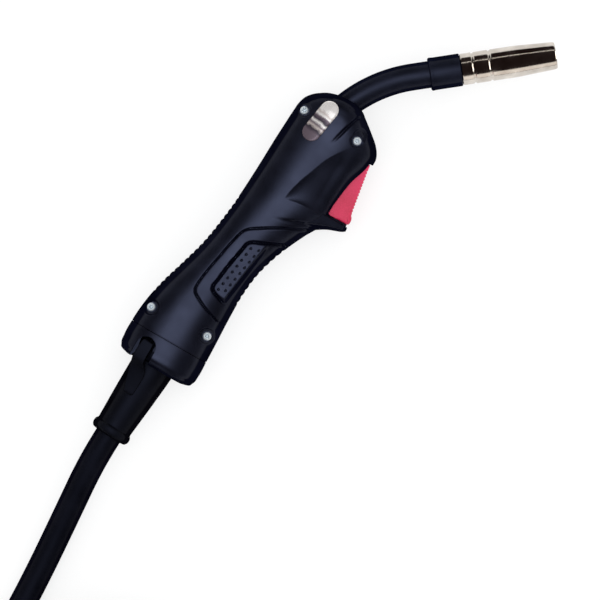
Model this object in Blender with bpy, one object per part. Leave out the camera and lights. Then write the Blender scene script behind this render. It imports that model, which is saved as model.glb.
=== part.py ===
"""MIG welding torch, lying on its side.

The origin is on the resting face, straight below the centre of the ball joint at the rear of the
handle. +X runs along the handle towards the nozzle, +Y is the back of the hand grip, -Y the side
with the trigger, and +Z is up. The torch's plane of symmetry is the level plane z = MID.
Lengths below are in millimetres and become metres where a mesh is made.
"""

import math

import bmesh
import bpy
import numpy as np
from mathutils import Vector

MM = 0.001
GAP = 0.3  # clearance kept between pieces that touch
MID = 20.0  # height of the plane of symmetry
UP = np.array([0.0, 0.0, 1.0])

# Handle: x, back edge, front edge and half thickness of each station along the grip
HANDLE = (
    (-11.5, 17.0, -18.0, 14.8),
    (-10.6, 20.4, -21.4, 18.0),
    (-8.2, 22.7, -23.6, 19.9),
    (-3.0, 23.8, -24.5, 20.6),
    (6.0, 24.0, -24.3, 20.6),
    (18.0, 23.1, -23.9, 20.4),
    (32.0, 20.5, -23.3, 19.5),
    (48.0, 15.8, -23.2, 18.3),
    (64.0, 11.3, -25.0, 17.4),
    (80.0, 8.6, -29.8, 17.2),
    (96.0, 6.8, -37.0, 17.8),
    (108.0, 6.1, -43.6, 18.7),
    (120.0, 5.6, -44.8, 19.7),
    (134.0, 5.2, -46.6, 20.5),
    (147.0, 4.6, -50.0, 20.6),
    (154.0, 4.2, -50.0, 20.6),
    (160.0, 3.6, -46.2, 20.1),
    (165.0, 1.6, -40.4, 18.9),
    (170.0, -3.6, -34.0, 16.4),
    (173.2, -9.6, -29.6, 13.2),
    (174.5, -14.0, -26.6, 10.8),
)
SQUARENESS = 2.4  # exponent of the superelliptic cross-section
REST_HALF = 20.0  # the underside is cut flat this far below the plane of symmetry
WALL = 2.5
COLLAR_FRONT = 5.9
SHELL_STEPS = 14
SECTION_STEPS = 8

# Ball joint, bend support and the slot that the bend support's tongue moves in
BALL_RADIUS = 15.5
BOOT_TILT = math.radians(-3.0)
BOOT_LENGTH = 55.0
TONGUE_Y = 9.4
TONGUE_HALF = 3.7
SLOT_HALF = 6.0
CABLE_RADIUS = 7.75

# Screws through the shells, as (x, y)
SCREWS = ((156.9, -1.4), (156.6, -35.7), (18.0, 17.9), (19.4, -17.5))
HEAD_RADIUS = 2.35
HEAD_DEPTH = 3.0
SHANK_RADIUS = 1.4
BOSS_RADIUS = 4.0

# Badge: a blank plate with round ends, let into the upper shell
BADGE_ENDS = ((148.3, -11.0), (163.8, -13.6))
BADGE_RADIUS = 5.2
BADGE_PROUD = 0.35
BADGE_SUNK = 0.6

# Neck: straight, then one bend in the plane of symmetry, then straight to the nozzle
NECK_Y = -14.5
NECK_REAR = 84.0
BEND_X = 141.6
BEND_RADIUS = 80.0
BEND_ANGLE = math.radians(51.4)
SLEEVE_RADIUS = 7.65
SLEEVE_BORE = 4.9
TUBE_RADIUS = 4.6

# Places along the straight front of the neck, from the end of the bend
INSULATOR_START = 9.7
INSULATOR_STEP = 27.7
INSULATOR_END = 46.0
NOZZLE_START = 28.0
NOZZLE_END = 82.0
TIP_END = 79.5

# Trigger
PIVOT = (145.0, -43.0)
TRIGGER_HALF = 8.6
SLOT_SIDE = 9.4
PLUNGER_X = 130.0
SWITCH_FACE = -38.0

# Cable: it comes out level, sinks to the floor and runs into a two-layer coil
LEAD_ROUTE = (
    (-26.4, 1.38, 20.0),
    (-42.0, 2.2, 20.0),
    (-58.0, 3.04, 19.95),
    (-72.0, 3.3, 18.9),
    (-85.0, 2.9, 16.7),
    (-100.0, 1.8, 13.6),
    (-120.0, 0.3, 10.2),
    (-140.0, -1.1, 8.3),
    (-162.0, -2.2, 7.75),
    (-189.2, -2.8, 8.0),
)
COIL_CENTRE = (-248.0, -108.4)
COIL_LIFT = 1.6
COIL_COLUMNS = (58.8, 74.4, 90.0, 105.6)
COIL_TOP = 33.0
TIE_ANGLES = (30.0, 200.0, 285.0)
TIE_THICKNESS = 1.3
TIE_HALF_ANGLE = 5.5

# Plug: beside the coil, pointing along -Y. Its stations are distances from the coil's centre line.
PLUG_REACH = 142.0
PLUG_X = COIL_CENTRE[0] - PLUG_REACH
PLUG_Z = 21.5
TAIL_ROUTE = (
    (-32.0, 116.2, 20.8),
    (-57.0, 114.6, 17.6),
    (-82.0, 109.0, 13.0),
    (-105.0, 98.5, 9.4),
    (-124.0, 82.0, 8.0),
    (-136.5, 60.0, 10.6),
    (-141.2, 41.0, 16.6),
    (-PLUG_REACH, 26.0, 20.4),
    (-PLUG_REACH, 12.0, PLUG_Z),
    (-PLUG_REACH, -4.0, PLUG_Z),
    (-PLUG_REACH, -24.0, PLUG_Z),
    (-PLUG_REACH, -54.6, PLUG_Z),
)
BEND_SUPPORT_START = -8.0
HOUSING_START = 31.3
HOUSING_END = 83.0
NUT_END = 111.0
FLANGE_END = 95.0
PLUG_TIP = 115.0
PIN_OFFSETS = ((-4.55, 8.56), (4.55, 8.56))

COLOURS = {
    "shell_plastic": ((0.012, 0.013, 0.020), 0.38, 0.0),
    "rubber": ((0.008, 0.008, 0.009), 0.62, 0.0),
    "trigger_red": ((0.62, 0.012, 0.050), 0.42, 0.0),
    "nickel": ((0.72, 0.68, 0.62), 0.16, 1.0),
    "zinc": ((0.70, 0.76, 0.80), 0.28, 1.0),
    "brass": ((0.70, 0.50, 0.20), 0.30, 1.0),
    "copper": ((0.78, 0.36, 0.20), 0.30, 1.0),
    "spring_steel": ((0.42, 0.42, 0.43), 0.34, 1.0),
    "switch_plastic": ((0.10, 0.11, 0.13), 0.50, 0.0),
    "red_wire": ((0.45, 0.02, 0.02), 0.50, 0.0),
    "strap": ((0.020, 0.020, 0.022), 0.90, 0.0),
}


# ---------------------------------------------------------------- common tools


def clear_scene():
    for obj in list(bpy.data.objects):
        bpy.data.objects.remove(obj)


def material(name):
    """The Principled material of this name, made once."""
    if name in bpy.data.materials:
        return bpy.data.materials[name]
    colour, roughness, metallic = COLOURS[name]
    made = bpy.data.materials.new(name)
    made.use_nodes = True
    shader = made.node_tree.nodes["Principled BSDF"]
    shader.inputs["Base Color"].default_value = (*colour, 1.0)
    shader.inputs["Roughness"].default_value = roughness
    shader.inputs["Metallic"].default_value = metallic
    return made


def link(obj, place=(0, 0, 0), axis=None, parent=None):
    """Puts an object in the scene at a place in millimetres, its own Z turned to the axis."""
    bpy.context.scene.collection.objects.link(obj)
    obj.location = Vector(place) * MM
    if axis is not None:
        obj.rotation_mode = "QUATERNION"
        obj.rotation_quaternion = Vector(axis).to_track_quat("Z", "Y")
    if parent is not None:
        bpy.context.view_layer.update()
        obj.parent = parent
        obj.matrix_parent_inverse = parent.matrix_world.inverted()
    return obj


def solid(name, points, faces, finish, place=(0, 0, 0), axis=None, parent=None):
    """A closed mesh object from points in millimetres, faces turned outwards."""
    mesh = bpy.data.meshes.new(name)
    mesh.from_pydata([tuple(np.asarray(p, float) * MM) for p in points], [], faces)
    shaped = bmesh.new()
    shaped.from_mesh(mesh)
    bmesh.ops.recalc_face_normals(shaped, faces=shaped.faces)
    shaped.to_mesh(mesh)
    shaped.free()
    mesh.shade_smooth()
    mesh.set_sharp_from_angle(angle=math.radians(35))
    mesh.materials.append(material(finish))
    return link(bpy.data.objects.new(name, mesh), place, axis, parent)


def as_cutter(obj):
    obj.hide_render = True
    obj.display_type = "WIRE"
    return obj


def combine(obj, other, operation):
    modifier = obj.modifiers.new(f"{operation} {other.name}", "BOOLEAN")
    modifier.object = other
    modifier.operation = operation
    as_cutter(other)


def ring_faces(first, second, count, around=True):
    last = count if around else count - 1
    return [
        (first + i, first + (i + 1) % count, second + (i + 1) % count, second + i)
        for i in range(last)
    ]


def turned_shape(profile, sides, closed):
    """Points and faces of a (radius, height) profile turned about Z. A closed one is a ring."""
    points, starts = [], []
    for radius, height in profile:
        starts.append(len(points))
        if radius == 0:
            points.append((0, 0, height))
            continue
        for i in range(sides):
            turn = 2 * math.pi * i / sides
            points.append((radius * math.cos(turn), radius * math.sin(turn), height))
    pairs = list(zip(range(len(profile)), range(1, len(profile))))
    if closed:
        pairs.append((len(profile) - 1, 0))
    faces = []
    for a, b in pairs:
        if profile[a][0] == 0 or profile[b][0] == 0:
            pole, rim = (a, b) if profile[a][0] == 0 else (b, a)
            faces += [
                (starts[pole], starts[rim] + i, starts[rim] + (i + 1) % sides) for i in range(sides)
            ]
        else:
            faces += ring_faces(starts[a], starts[b], sides)
    return points, faces


def turned(name, profile, finish, place, axis, sides=24, closed=False, parent=None):
    points, faces = turned_shape(profile, sides, closed)
    return solid(name, points, faces, finish, place, axis, parent)


def tube_between(radius, bore, low, high):
    """The profile of a plain tube or, with no bore, of a rod."""
    if bore == 0:
        return [(0, low), (radius, low), (radius, high), (0, high)]
    return [(bore, low), (radius, low), (radius, high), (bore, high)]


def prism(name, outline, low, high, finish, parent=None, place=(0, 0, 0)):
    """A flat outline in X and Y, given about the place, raised from one height to another."""
    count = len(outline)
    points = [(x, y, low) for x, y in outline] + [(x, y, high) for x, y in outline]
    faces = [tuple(range(count)), tuple(range(count, 2 * count))] + ring_faces(0, count, count)
    return solid(name, points, faces, finish, place, None, parent)


def joined(name, shapes):
    """One mesh from several separate closed shapes, as a cutter that holds them all."""
    points, faces = [], []
    for some_points, some_faces in shapes:
        start = len(points)
        points += [tuple(p) for p in some_points]
        faces += [tuple(start + i for i in face) for face in some_faces]
    return solid(name, points, faces, "shell_plastic")


def moved(shape, offset):
    points, faces = shape
    return [tuple(np.asarray(p, float) + offset) for p in points], faces


def box_shape(low, high):
    (x0, y0, z0), (x1, y1, z1) = low, high
    points = [(x, y, z) for z in (z0, z1) for x, y in ((x0, y0), (x1, y0), (x1, y1), (x0, y1))]
    faces = [(0, 1, 2, 3), (4, 5, 6, 7)] + ring_faces(0, 4, 4)
    return points, faces


def smooth_curve(route, spacing):
    """Points about this far apart on a Catmull-Rom curve through the route's points."""
    route = np.asarray(route, float)
    ends = np.vstack([2 * route[0] - route[1], route, 2 * route[-1] - route[-2]])
    fine = []
    for i in range(len(route) - 1):
        a, b, c, d = ends[i : i + 4]
        for t in np.linspace(0, 1, 16, endpoint=False):
            square, cube = 2 * a - 5 * b + 4 * c - d, 3 * b - a - 3 * c + d
            fine.append((2 * b + (c - a) * t + square * t**2 + cube * t**3) / 2)
    fine.append(route[-1])
    fine = np.array(fine)
    along = np.concatenate([[0], np.cumsum(np.linalg.norm(np.diff(fine, axis=0), axis=1))])
    at = np.linspace(0, along[-1], max(2, round(along[-1] / spacing) + 1))
    return np.column_stack([np.interp(at, along, fine[:, k]) for k in range(3)])


def wire(name, points, radius, finish, roundness=2, place=(0, 0, 0), axis=None, parent=None):
    """A round wire, hose or cable through the points, as a bevelled curve with closed ends."""
    curve = bpy.data.curves.new(name, "CURVE")
    curve.dimensions = "3D"
    curve.bevel_depth = radius * MM
    curve.bevel_resolution = roundness
    curve.use_fill_caps = True
    line = curve.splines.new("POLY")
    line.points.add(len(points) - 1)
    for knot, point in zip(line.points, points):
        knot.co = (*(np.asarray(point, float) * MM), 1.0)
    curve.materials.append(material(finish))
    return link(bpy.data.objects.new(name, curve), place, axis, parent)


def helix(radius, low, high, turns, steps=10):
    count = round(turns * steps)
    return [
        (
            radius * math.cos(2 * math.pi * i / steps),
            radius * math.sin(2 * math.pi * i / steps),
            low + (high - low) * i / count,
        )
        for i in range(count + 1)
    ]


def axis_empty(name, place):
    empty = bpy.data.objects.new(name, None)
    link(empty, place)
    bpy.context.view_layer.update()
    return empty


# ---------------------------------------------------------------- handle shape


def through(x, places, values):
    """A smooth curve through the values, by cubic pieces whose slopes come from their neighbours."""
    places = np.asarray(places, float)
    values = np.asarray(values, float)
    slopes = np.gradient(values, places)
    i = np.clip(np.searchsorted(places, x) - 1, 0, len(places) - 2)
    step = places[i + 1] - places[i]
    t = (x - places[i]) / step
    return (
        values[i] * (1 + 2 * t) * (1 - t) ** 2
        + slopes[i] * step * t * (1 - t) ** 2
        + values[i + 1] * t * t * (3 - 2 * t)
        + slopes[i + 1] * step * t * t * (t - 1)
    )


def station(x):
    """The middle, half width and half thickness of the handle at x."""
    rows = np.array(HANDLE)
    back, front, half = (through(x, rows[:, 0], rows[:, k]) for k in (1, 2, 3))
    return (back + front) / 2, (back - front) / 2, half


def surface_height(x, y):
    """How far the handle's outer surface stands from the plane of symmetry."""
    middle, width, half = station(x)
    across = min(abs(y - middle) / width, 1.0)
    return half * (1 - across**SQUARENESS) ** (1 / SQUARENESS)


def section(x, inset, steps=SECTION_STEPS):
    """Half a cross-section from the back seam over the side to the front seam, as (y, height)."""
    middle, width, half = station(x)
    found = []
    for i in range(steps + 1):
        turn = math.pi * i / steps
        across = math.copysign(abs(math.cos(turn)) ** (2 / SQUARENESS), math.cos(turn))
        height = abs(math.sin(turn)) ** (2 / SQUARENESS)
        found.append((middle + (width - inset) * across, (half - inset) * height))
    found[0] = (found[0][0], 0.0)
    found[-1] = (found[-1][0], 0.0)
    return found


def stations_between(start, end, steps):
    """Places along the handle, closer together where its ends are rounded."""
    inner = [row[0] for row in HANDLE if start + 0.8 < row[0] < end - 0.8]
    longest = (end - start) / steps
    places = [start]
    for x in [*inner, end]:
        cuts = max(1, math.ceil((x - places[-1]) / longest - 0.25))
        base = places[-1]
        places += [base + (x - base) * (k + 1) / cuts for k in range(cuts)]
    return places


def half_handle(name, start, end, inset, side, seam):
    """One half of the handle as a closed solid, cut flat at its seam and at both ends."""
    places = stations_between(start, end, SHELL_STEPS)
    count = SECTION_STEPS + 1
    points = []
    for x in places:
        for y, height in section(x, inset):
            height = max(height, seam) if height > 0 else seam
            if side < 0:
                height = min(height, REST_HALF - (inset if inset else 0))
            points.append((x, y, MID + side * height))
    faces = []
    for i in range(len(places) - 1):
        a, b = i * count, (i + 1) * count
        faces += ring_faces(a, b, count)
    faces.append(tuple(range(count)))
    faces.append(tuple(range((len(places) - 1) * count, len(places) * count)))
    return solid(name, points, faces, "shell_plastic")


def whole_handle(name, start, end):
    """A slice of the handle as one closed solid, with the flat that it rests on."""
    places = stations_between(start, end, 4)
    points, faces = [], []
    count = 4 * SECTION_STEPS
    for x in places:
        over = section(x, 0, 2 * SECTION_STEPS)
        under = [(y, -min(height, REST_HALF)) for y, height in over[::-1]]
        points += [(x, y, MID + height) for y, height in over[:-1] + under[:-1]]
    for i in range(len(places) - 1):
        faces += ring_faces(i * count, (i + 1) * count, count)
    faces.append(tuple(range(count)))
    faces.append(tuple(range((len(places) - 1) * count, len(places) * count)))
    return solid(name, points, faces, "shell_plastic")


# ---------------------------------------------------------------- handle pieces


def neck_place(distance):
    """The point and direction of the neck's centre line, this far past the end of the bend."""
    along = np.array([math.cos(BEND_ANGLE), -math.sin(BEND_ANGLE), 0.0])
    end = np.array(
        [
            BEND_X + BEND_RADIUS * math.sin(BEND_ANGLE),
            NECK_Y - BEND_RADIUS * (1 - math.cos(BEND_ANGLE)),
            MID,
        ]
    )
    return end + along * distance, along


def neck_line(start_x, end, steps=9):
    """Points of the neck's centre line from a place in the handle to a distance past the bend."""
    points = [np.array([start_x, NECK_Y, MID])]
    for i in range(steps + 1):
        turn = BEND_ANGLE * i / steps
        points.append(
            np.array(
                [
                    BEND_X + BEND_RADIUS * math.sin(turn),
                    NECK_Y - BEND_RADIUS * (1 - math.cos(turn)),
                    MID,
                ]
            )
        )
    points.append(neck_place(end)[0])
    return points


def bent_tube_shape(line, radius, bore, sides):
    """A tube along a line in a level plane, hollow where a bore is given."""
    line = np.array(line)
    points, rings = [], []
    for size in (radius, bore) if bore else (radius,):
        for i, centre in enumerate(line):
            before, after = line[max(i - 1, 0)], line[min(i + 1, len(line) - 1)]
            along = (after - before) / np.linalg.norm(after - before)
            across = np.array([-along[1], along[0], 0.0])
            rings.append(len(points))
            for k in range(sides):
                turn = 2 * math.pi * k / sides
                outwards = math.cos(turn) * across + math.sin(turn) * UP
                points.append(centre + size * outwards)
    count = len(line)
    faces = []
    for start in range(0, len(rings), count):
        for i in range(count - 1):
            faces += ring_faces(rings[start + i], rings[start + i + 1], sides)
    if bore:
        faces += ring_faces(rings[0], rings[count], sides)
        faces += ring_faces(rings[count - 1], rings[2 * count - 1], sides)
    else:
        faces.append(tuple(range(sides)))
        faces.append(tuple(range(rings[-1], rings[-1] + sides)))
    return points, faces


def bosses(side):
    """What stays solid inside a shell: screw and pin bosses, neck saddles and switch cheeks."""
    shapes = []
    seat = GAP / 2
    for x, y in SCREWS:
        rod = turned_shape(tube_between(BOSS_RADIUS, 0, seat, 30), 14, False)
        shapes.append(moved(rod, (x, y, 0)))
    pin_boss = turned_shape(tube_between(3.4, 0, SLOT_SIDE, 30), 14, False)
    shapes.append(moved(pin_boss, (*PIVOT, 0)))
    for x in (94.0, 122.0):
        shapes.append(box_shape((x, -25.5, seat), (x + 3, -3, 30)))
    shapes.append(box_shape((119.5, -36.5, 3.6), (138.5, -29.0, 30)))
    placed = []
    for points, faces in shapes:
        placed.append(([(x, y, MID + side * z) for x, y, z in points], faces))
    return joined(f"bosses_{'lower' if side < 0 else 'upper'}", placed)


def screw_holes(side):
    """Stepped holes in the upper shell, blind ones in the lower shell's bosses."""
    shapes = []
    for x, y in SCREWS:
        top = surface_height(x, y)
        seat = top - HEAD_DEPTH - 0.2
        if side > 0:
            profile = [(0, -1), (1.7, -1), (1.7, seat), (3.0, seat), (3.0, 30), (0, 30)]
        else:
            profile = [(0, -1), (1.7, -1), (1.7, 9.5), (0, 9.5)]
        shapes.append(moved(turned_shape(profile, 16, False), (x, y, 0)))
    placed = []
    for points, faces in shapes:
        placed.append(([(x, y, MID + side * z) for x, y, z in points], faces))
    return joined(f"screw_holes_{'lower' if side < 0 else 'upper'}", placed)


def guard_fin(side):
    """Half of the fin behind the trigger, which keeps a finger from sliding back."""
    outline = [
        (99.5, -35.5),
        (101.7, -40.2),
        (105.2, -46.0),
        (108.0, -53.2),
        (109.0, -55.2),
        (110.4, -55.9),
        (111.6, -55.0),
        (111.9, -52.5),
        (111.9, -40.5),
        (107.0, -36.5),
    ]
    low, high = sorted((MID + side * GAP / 2, MID + side * 8.4))
    fin = prism(f"guard_fin_{'lower' if side < 0 else 'upper'}", outline, low, high, "shell_plastic")
    return fin


def make_shell(name, side):
    shell = half_handle(name, COLLAR_FRONT + GAP, HANDLE[-1][0], 0, side, GAP / 2)
    cavity = half_handle(f"{name}_cavity", 3.0, 171.6, WALL, side, -1.0)
    combine(cavity, bosses(side), "DIFFERENCE")
    combine(shell, cavity, "DIFFERENCE")
    combine(shell, guard_fin(side), "UNION")
    slot_low, slot_high = sorted((MID - side * 2, MID + side * SLOT_SIDE))
    slot = joined(f"{name}_slot", [box_shape((111.9, -70, slot_low), (150.6, -37.6, slot_high))])
    combine(shell, slot, "DIFFERENCE")
    channel = joined(
        f"{name}_channel", [bent_tube_shape(neck_line(76, 12, 9)[:-3], SLEEVE_RADIUS + GAP, 0, 24)]
    )
    combine(shell, channel, "DIFFERENCE")
    combine(shell, screw_holes(side), "DIFFERENCE")
    low, high = sorted((MID + side * 8.9, MID + side * 12.6))
    hole = moved(turned_shape(tube_between(1.8, 0, low, high), 14, False), (*PIVOT, 0))
    combine(shell, joined(f"{name}_pin_hole", [hole]), "DIFFERENCE")
    return shell


def badge_shape(grow, low, high):
    """The badge's round-ended outline, its two faces following the upper shell's surface."""
    (x0, y0), (x1, y1) = BADGE_ENDS
    length = math.hypot(x1 - x0, y1 - y0)
    along = np.array([x1 - x0, y1 - y0]) / length
    across = np.array([-along[1], along[0]])
    radius = BADGE_RADIUS + grow
    places = [(-radius * math.cos(t), radius * math.sin(t)) for t in np.linspace(0.25, math.pi / 2, 5)]
    rows = places + [(length + radius * math.sin(t), radius * math.cos(t)) for t in np.linspace(0, 1.32, 5)]
    cuts = (-1.0, -0.5, 0.0, 0.5, 1.0)
    points = []
    for offset in (high, low):
        for place, half in rows:
            for cut in cuts:
                x, y = np.array([x0, y0]) + along * place + across * half * cut
                points.append((x, y, MID + surface_height(x, y) + offset))
    wide, count = len(cuts), len(rows)
    faces = []
    for layer in (0, count * wide):
        for i in range(count - 1):
            for k in range(wide - 1):
                a = layer + i * wide + k
                faces.append((a, a + 1, a + wide + 1, a + wide))
    rim = [k for k in range(wide)]
    rim += [i * wide + wide - 1 for i in range(1, count)]
    rim += [(count - 1) * wide + k for k in range(wide - 2, -1, -1)]
    rim += [i * wide for i in range(count - 2, 0, -1)]
    under = count * wide
    for a, b in zip(rim, rim[1:] + rim[:1]):
        faces.append((a, b, under + b, under + a))
    return points, faces


def make_badge(shell):
    points, faces = badge_shape(0, -BADGE_SUNK, BADGE_PROUD)
    solid("badge_plate", points, faces, "nickel")
    combine(shell, joined("badge_pocket", [badge_shape(0.3, -BADGE_SUNK - GAP, 3.0)]), "DIFFERENCE")


def make_screws():
    for i, (x, y) in enumerate(SCREWS, 1):
        seat = MID + surface_height(x, y) - HEAD_DEPTH
        profile = [
            (0, MID - 8.5),
            (SHANK_RADIUS, MID - 8.0),
            (SHANK_RADIUS, seat),
            (HEAD_RADIUS, seat),
            (HEAD_RADIUS, seat + 1.3),
            (1.7, seat + 1.9),
            (0, seat + 1.9),
        ]
        turned(f"shell_screw_{i}", profile, "zinc", (x, y, 0), (0, 0, 1), 16)


def make_collar():
    """The rear ring that holds the ball, with a slot for the bend support's tongue."""
    collar = whole_handle("rear_collar", HANDLE[0][0], COLLAR_FRONT)
    seat = BALL_RADIUS + GAP
    arc = [(seat * math.cos(t), seat * math.sin(t)) for t in np.radians(np.linspace(27, -23, 7))]
    profile = [(0, 8.0), (arc[0][0], 8.0), *arc, (16.6, HANDLE[0][0] - 1), (0, HANDLE[0][0] - 1)]
    socket = turned("collar_socket", profile, "shell_plastic", (0, 0, MID), (1, 0, 0), 32)
    combine(collar, socket, "DIFFERENCE")
    bow = [
        (-3.0 + SLOT_HALF * math.sin(t), TONGUE_Y + SLOT_HALF * math.cos(t))
        for t in np.linspace(0, math.pi, 9)
    ]
    outline = [(-13.0, TONGUE_Y - SLOT_HALF), (-13.0, TONGUE_Y + SLOT_HALF), *bow]
    combine(collar, prism("collar_slot", outline, MID + 7.0, MID + 24.0, "shell_plastic"), "DIFFERENCE")


# ---------------------------------------------------------------- trigger and switch


def make_trigger():
    pivot = axis_empty("trigger_axis", (*PIVOT, MID))
    boss = [
        (PIVOT[0] + 3.9 * math.cos(t), PIVOT[1] + 3.9 * math.sin(t))
        for t in np.radians(np.linspace(140, 0, 6))
    ]
    outline = [
        (148.7, -48.9),
        (118.8, -53.9),
        (116.9, -55.0),
        (114.0, -55.1),
        (113.5, -54.4),
        (112.9, -44.5),
        (113.9, -42.2),
        (128.5, -41.5),
        (128.5, -39.7),
        (131.5, -39.7),
        (131.5, -41.5),
        (139.5, -41.5),
        *boss,
    ]
    here = [(x - PIVOT[0], y - PIVOT[1]) for x, y in outline]
    place = (*PIVOT, MID)
    lever = prism("trigger_lever", here, -TRIGGER_HALF, TRIGGER_HALF, "trigger_red", pivot, place)
    bore = turned("trigger_bore", tube_between(1.8, 0, -12, 12), "trigger_red", place, (0, 0, 1), 16)
    combine(lever, bore, "DIFFERENCE")
    room = box_shape((140.6, -46.4, MID - 3.6), (152.0, -36.0, MID + 3.6))
    combine(lever, joined("trigger_notch", [room]), "DIFFERENCE")
    turned("trigger_pin", tube_between(1.5, 0, -12.2, 12.2), "spring_steel", place, (0, 0, 1), 14)
    coil = helix(2.5, -2.0, 2.0, 2.25, 8)
    leg = [(coil[-1][0] - 3.5, coil[-1][1] + 0.2, 2.0), (-8.0, 3.1, 2.0)]
    wire("trigger_spring", [*coil, *leg], 0.35, "spring_steel", 1, place)


def make_switch():
    """The snap-action switch between the shells' cheeks, its plunger facing the trigger."""
    body = prism(
        "microswitch_body",
        [(119, SWITCH_FACE), (139, SWITCH_FACE), (139, -28), (119, -28)],
        MID - 3.2,
        MID + 3.2,
        "switch_plastic",
    )
    face = (PLUNGER_X, SWITCH_FACE, MID)
    bore = turned("switch_bore", tube_between(1.6, 0, -1, 4.6), "switch_plastic", face, (0, 1, 0), 12)
    combine(body, bore, "DIFFERENCE")
    seat = (PLUNGER_X, SWITCH_FACE - 1.4, MID)
    turned("switch_plunger", tube_between(1.3, 0, 0, 4.2), "trigger_red", seat, (0, 1, 0), 12)
    for i, side in enumerate((-1, 1), 1):
        route = [
            (118.6, -33.0, 1.6),
            (108.0, -30.6, 3.6),
            (96.0, -28.4, 5.6),
            (82.0, -22.0, 9.6),
            (66.0, -15.0, 10.2),
            (50.0, -8.0, 10.2),
            (34.0, -1.0, 9.8),
            (20.0, 3.0, 9.4),
        ]
        lane = [(x, y, MID + side * height) for x, y, height in route]
        wire(f"switch_lead_{i}", smooth_curve(lane, 9), 0.8, "red_wire" if i == 1 else "rubber", 1)


# ---------------------------------------------------------------- neck and nozzle


def make_neck():
    core = bent_tube_shape(neck_line(NECK_REAR, INSULATOR_END + 0.4), TUBE_RADIUS, 2.6, 10)
    solid("neck_tube", *core, "copper")
    sleeve = bent_tube_shape(neck_line(104.0, 23.7), SLEEVE_RADIUS, 5.1, 12)
    solid("neck_sleeve", *sleeve, "rubber")
    liner = bent_tube_shape(neck_line(NECK_REAR + 0.2, INSULATOR_END), 1.9, 0.9, 6)
    solid("wire_liner", *liner, "spring_steel")

    block_place = (78.0, NECK_Y, MID)
    profile = [(3.5, 0), (7.3, 0), (7.3, 25.7), (SLEEVE_BORE, 25.7), (SLEEVE_BORE, 5.7), (3.5, 5.7)]
    block = turned("neck_block", profile, "brass", block_place, (1, 0, 0), 20, True)
    hole = turned("clamp_hole", tube_between(2.3, 0, 3.5, 12), "brass", (91.0, NECK_Y, MID), (0, 1, 0), 12)
    combine(block, hole, "DIFFERENCE")
    turned("neck_clamp_screw", tube_between(2.0, 0, 4.95, 7.6), "zinc", (91.0, NECK_Y, MID), (0, 1, 0), 12)

    nipple = [(0, 0), (5.5, 0), (5.5, 11.6), (3.2, 11.6), (3.2, 16.4), (0, 16.4)]
    turned("cable_nipple", nipple, "brass", (66.0, NECK_Y, MID), (1, 0, 0), 12)
    route = [(17.5, 0), (26, -0.7), (38, -6.0), (49, -12.4), (57, NECK_Y), (65.2, NECK_Y)]
    level = [(x, y, MID) for x, y in route]
    wire("power_lead", smooth_curve(level, 6), 4.4, "rubber", 2)


def make_front():
    """Insulator, retaining spring, tip adapter, contact tip and gas nozzle on one axis."""
    end, along = neck_place(0)
    insulator = [
        (SLEEVE_RADIUS + GAP, INSULATOR_START),
        (8.9, INSULATOR_START),
        (9.5, INSULATOR_START + 0.8),
        (9.3, INSULATOR_START + 2.6),
        (9.3, INSULATOR_STEP),
        (5.8, INSULATOR_STEP),
        (5.8, INSULATOR_END),
        (SLEEVE_BORE, INSULATOR_END),
        (SLEEVE_BORE, 24.0),
        (SLEEVE_RADIUS + GAP, 24.0),
    ]
    turned("insulator_sleeve", insulator, "rubber", end, along, 24, True)
    wire("nozzle_spring", helix(7.2, 30.0, 43.5, 5, 8), 0.55, "spring_steel", 1, end, along)

    adapter = [(2.2, 46.7), (5.6, 46.7), (5.6, 58.3), (3.3, 58.3), (3.3, 54.3), (2.2, 54.3)]
    holder = turned("tip_adapter", adapter, "brass", end, along, 16, True)
    port_place = end + along * 50.5
    for name, axis in (("gas_port_a", (0, 0, 1)), ("gas_port_b", (along[1], -along[0], 0))):
        port = turned(name, tube_between(0.9, 0, -7, 7), "brass", port_place, axis, 8)
        combine(holder, port, "DIFFERENCE")

    tip = [(0.7, 54.6), (3.0, 54.6), (3.0, 59.0), (4.0, 59.0), (4.0, 74.0), (2.2, TIP_END), (0.7, TIP_END)]
    turned("contact_tip", tip, "copper", end, along, 20, True)

    outer = [(8.2, NOZZLE_START), (8.7, NOZZLE_START), (9.0, NOZZLE_START + 0.4)]
    for groove in (NOZZLE_START + 7.0, NOZZLE_START + 16.5):
        outer += [(9.0, groove - 0.6), (8.65, groove - 0.3), (8.65, groove + 0.3), (9.0, groove + 0.6)]
    outer += [(9.0, 60.5), (8.8, 63.0), (7.8, NOZZLE_END - 1.2)]
    outer += [(7.55, NOZZLE_END - 0.3), (7.2, NOZZLE_END)]
    inner = [(6.9, NOZZLE_END), (6.85, NOZZLE_END - 0.6), (8.2, 62.0)]
    turned("gas_nozzle", outer + inner, "nickel", end, along, 24, True)


# ---------------------------------------------------------------- cable


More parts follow.
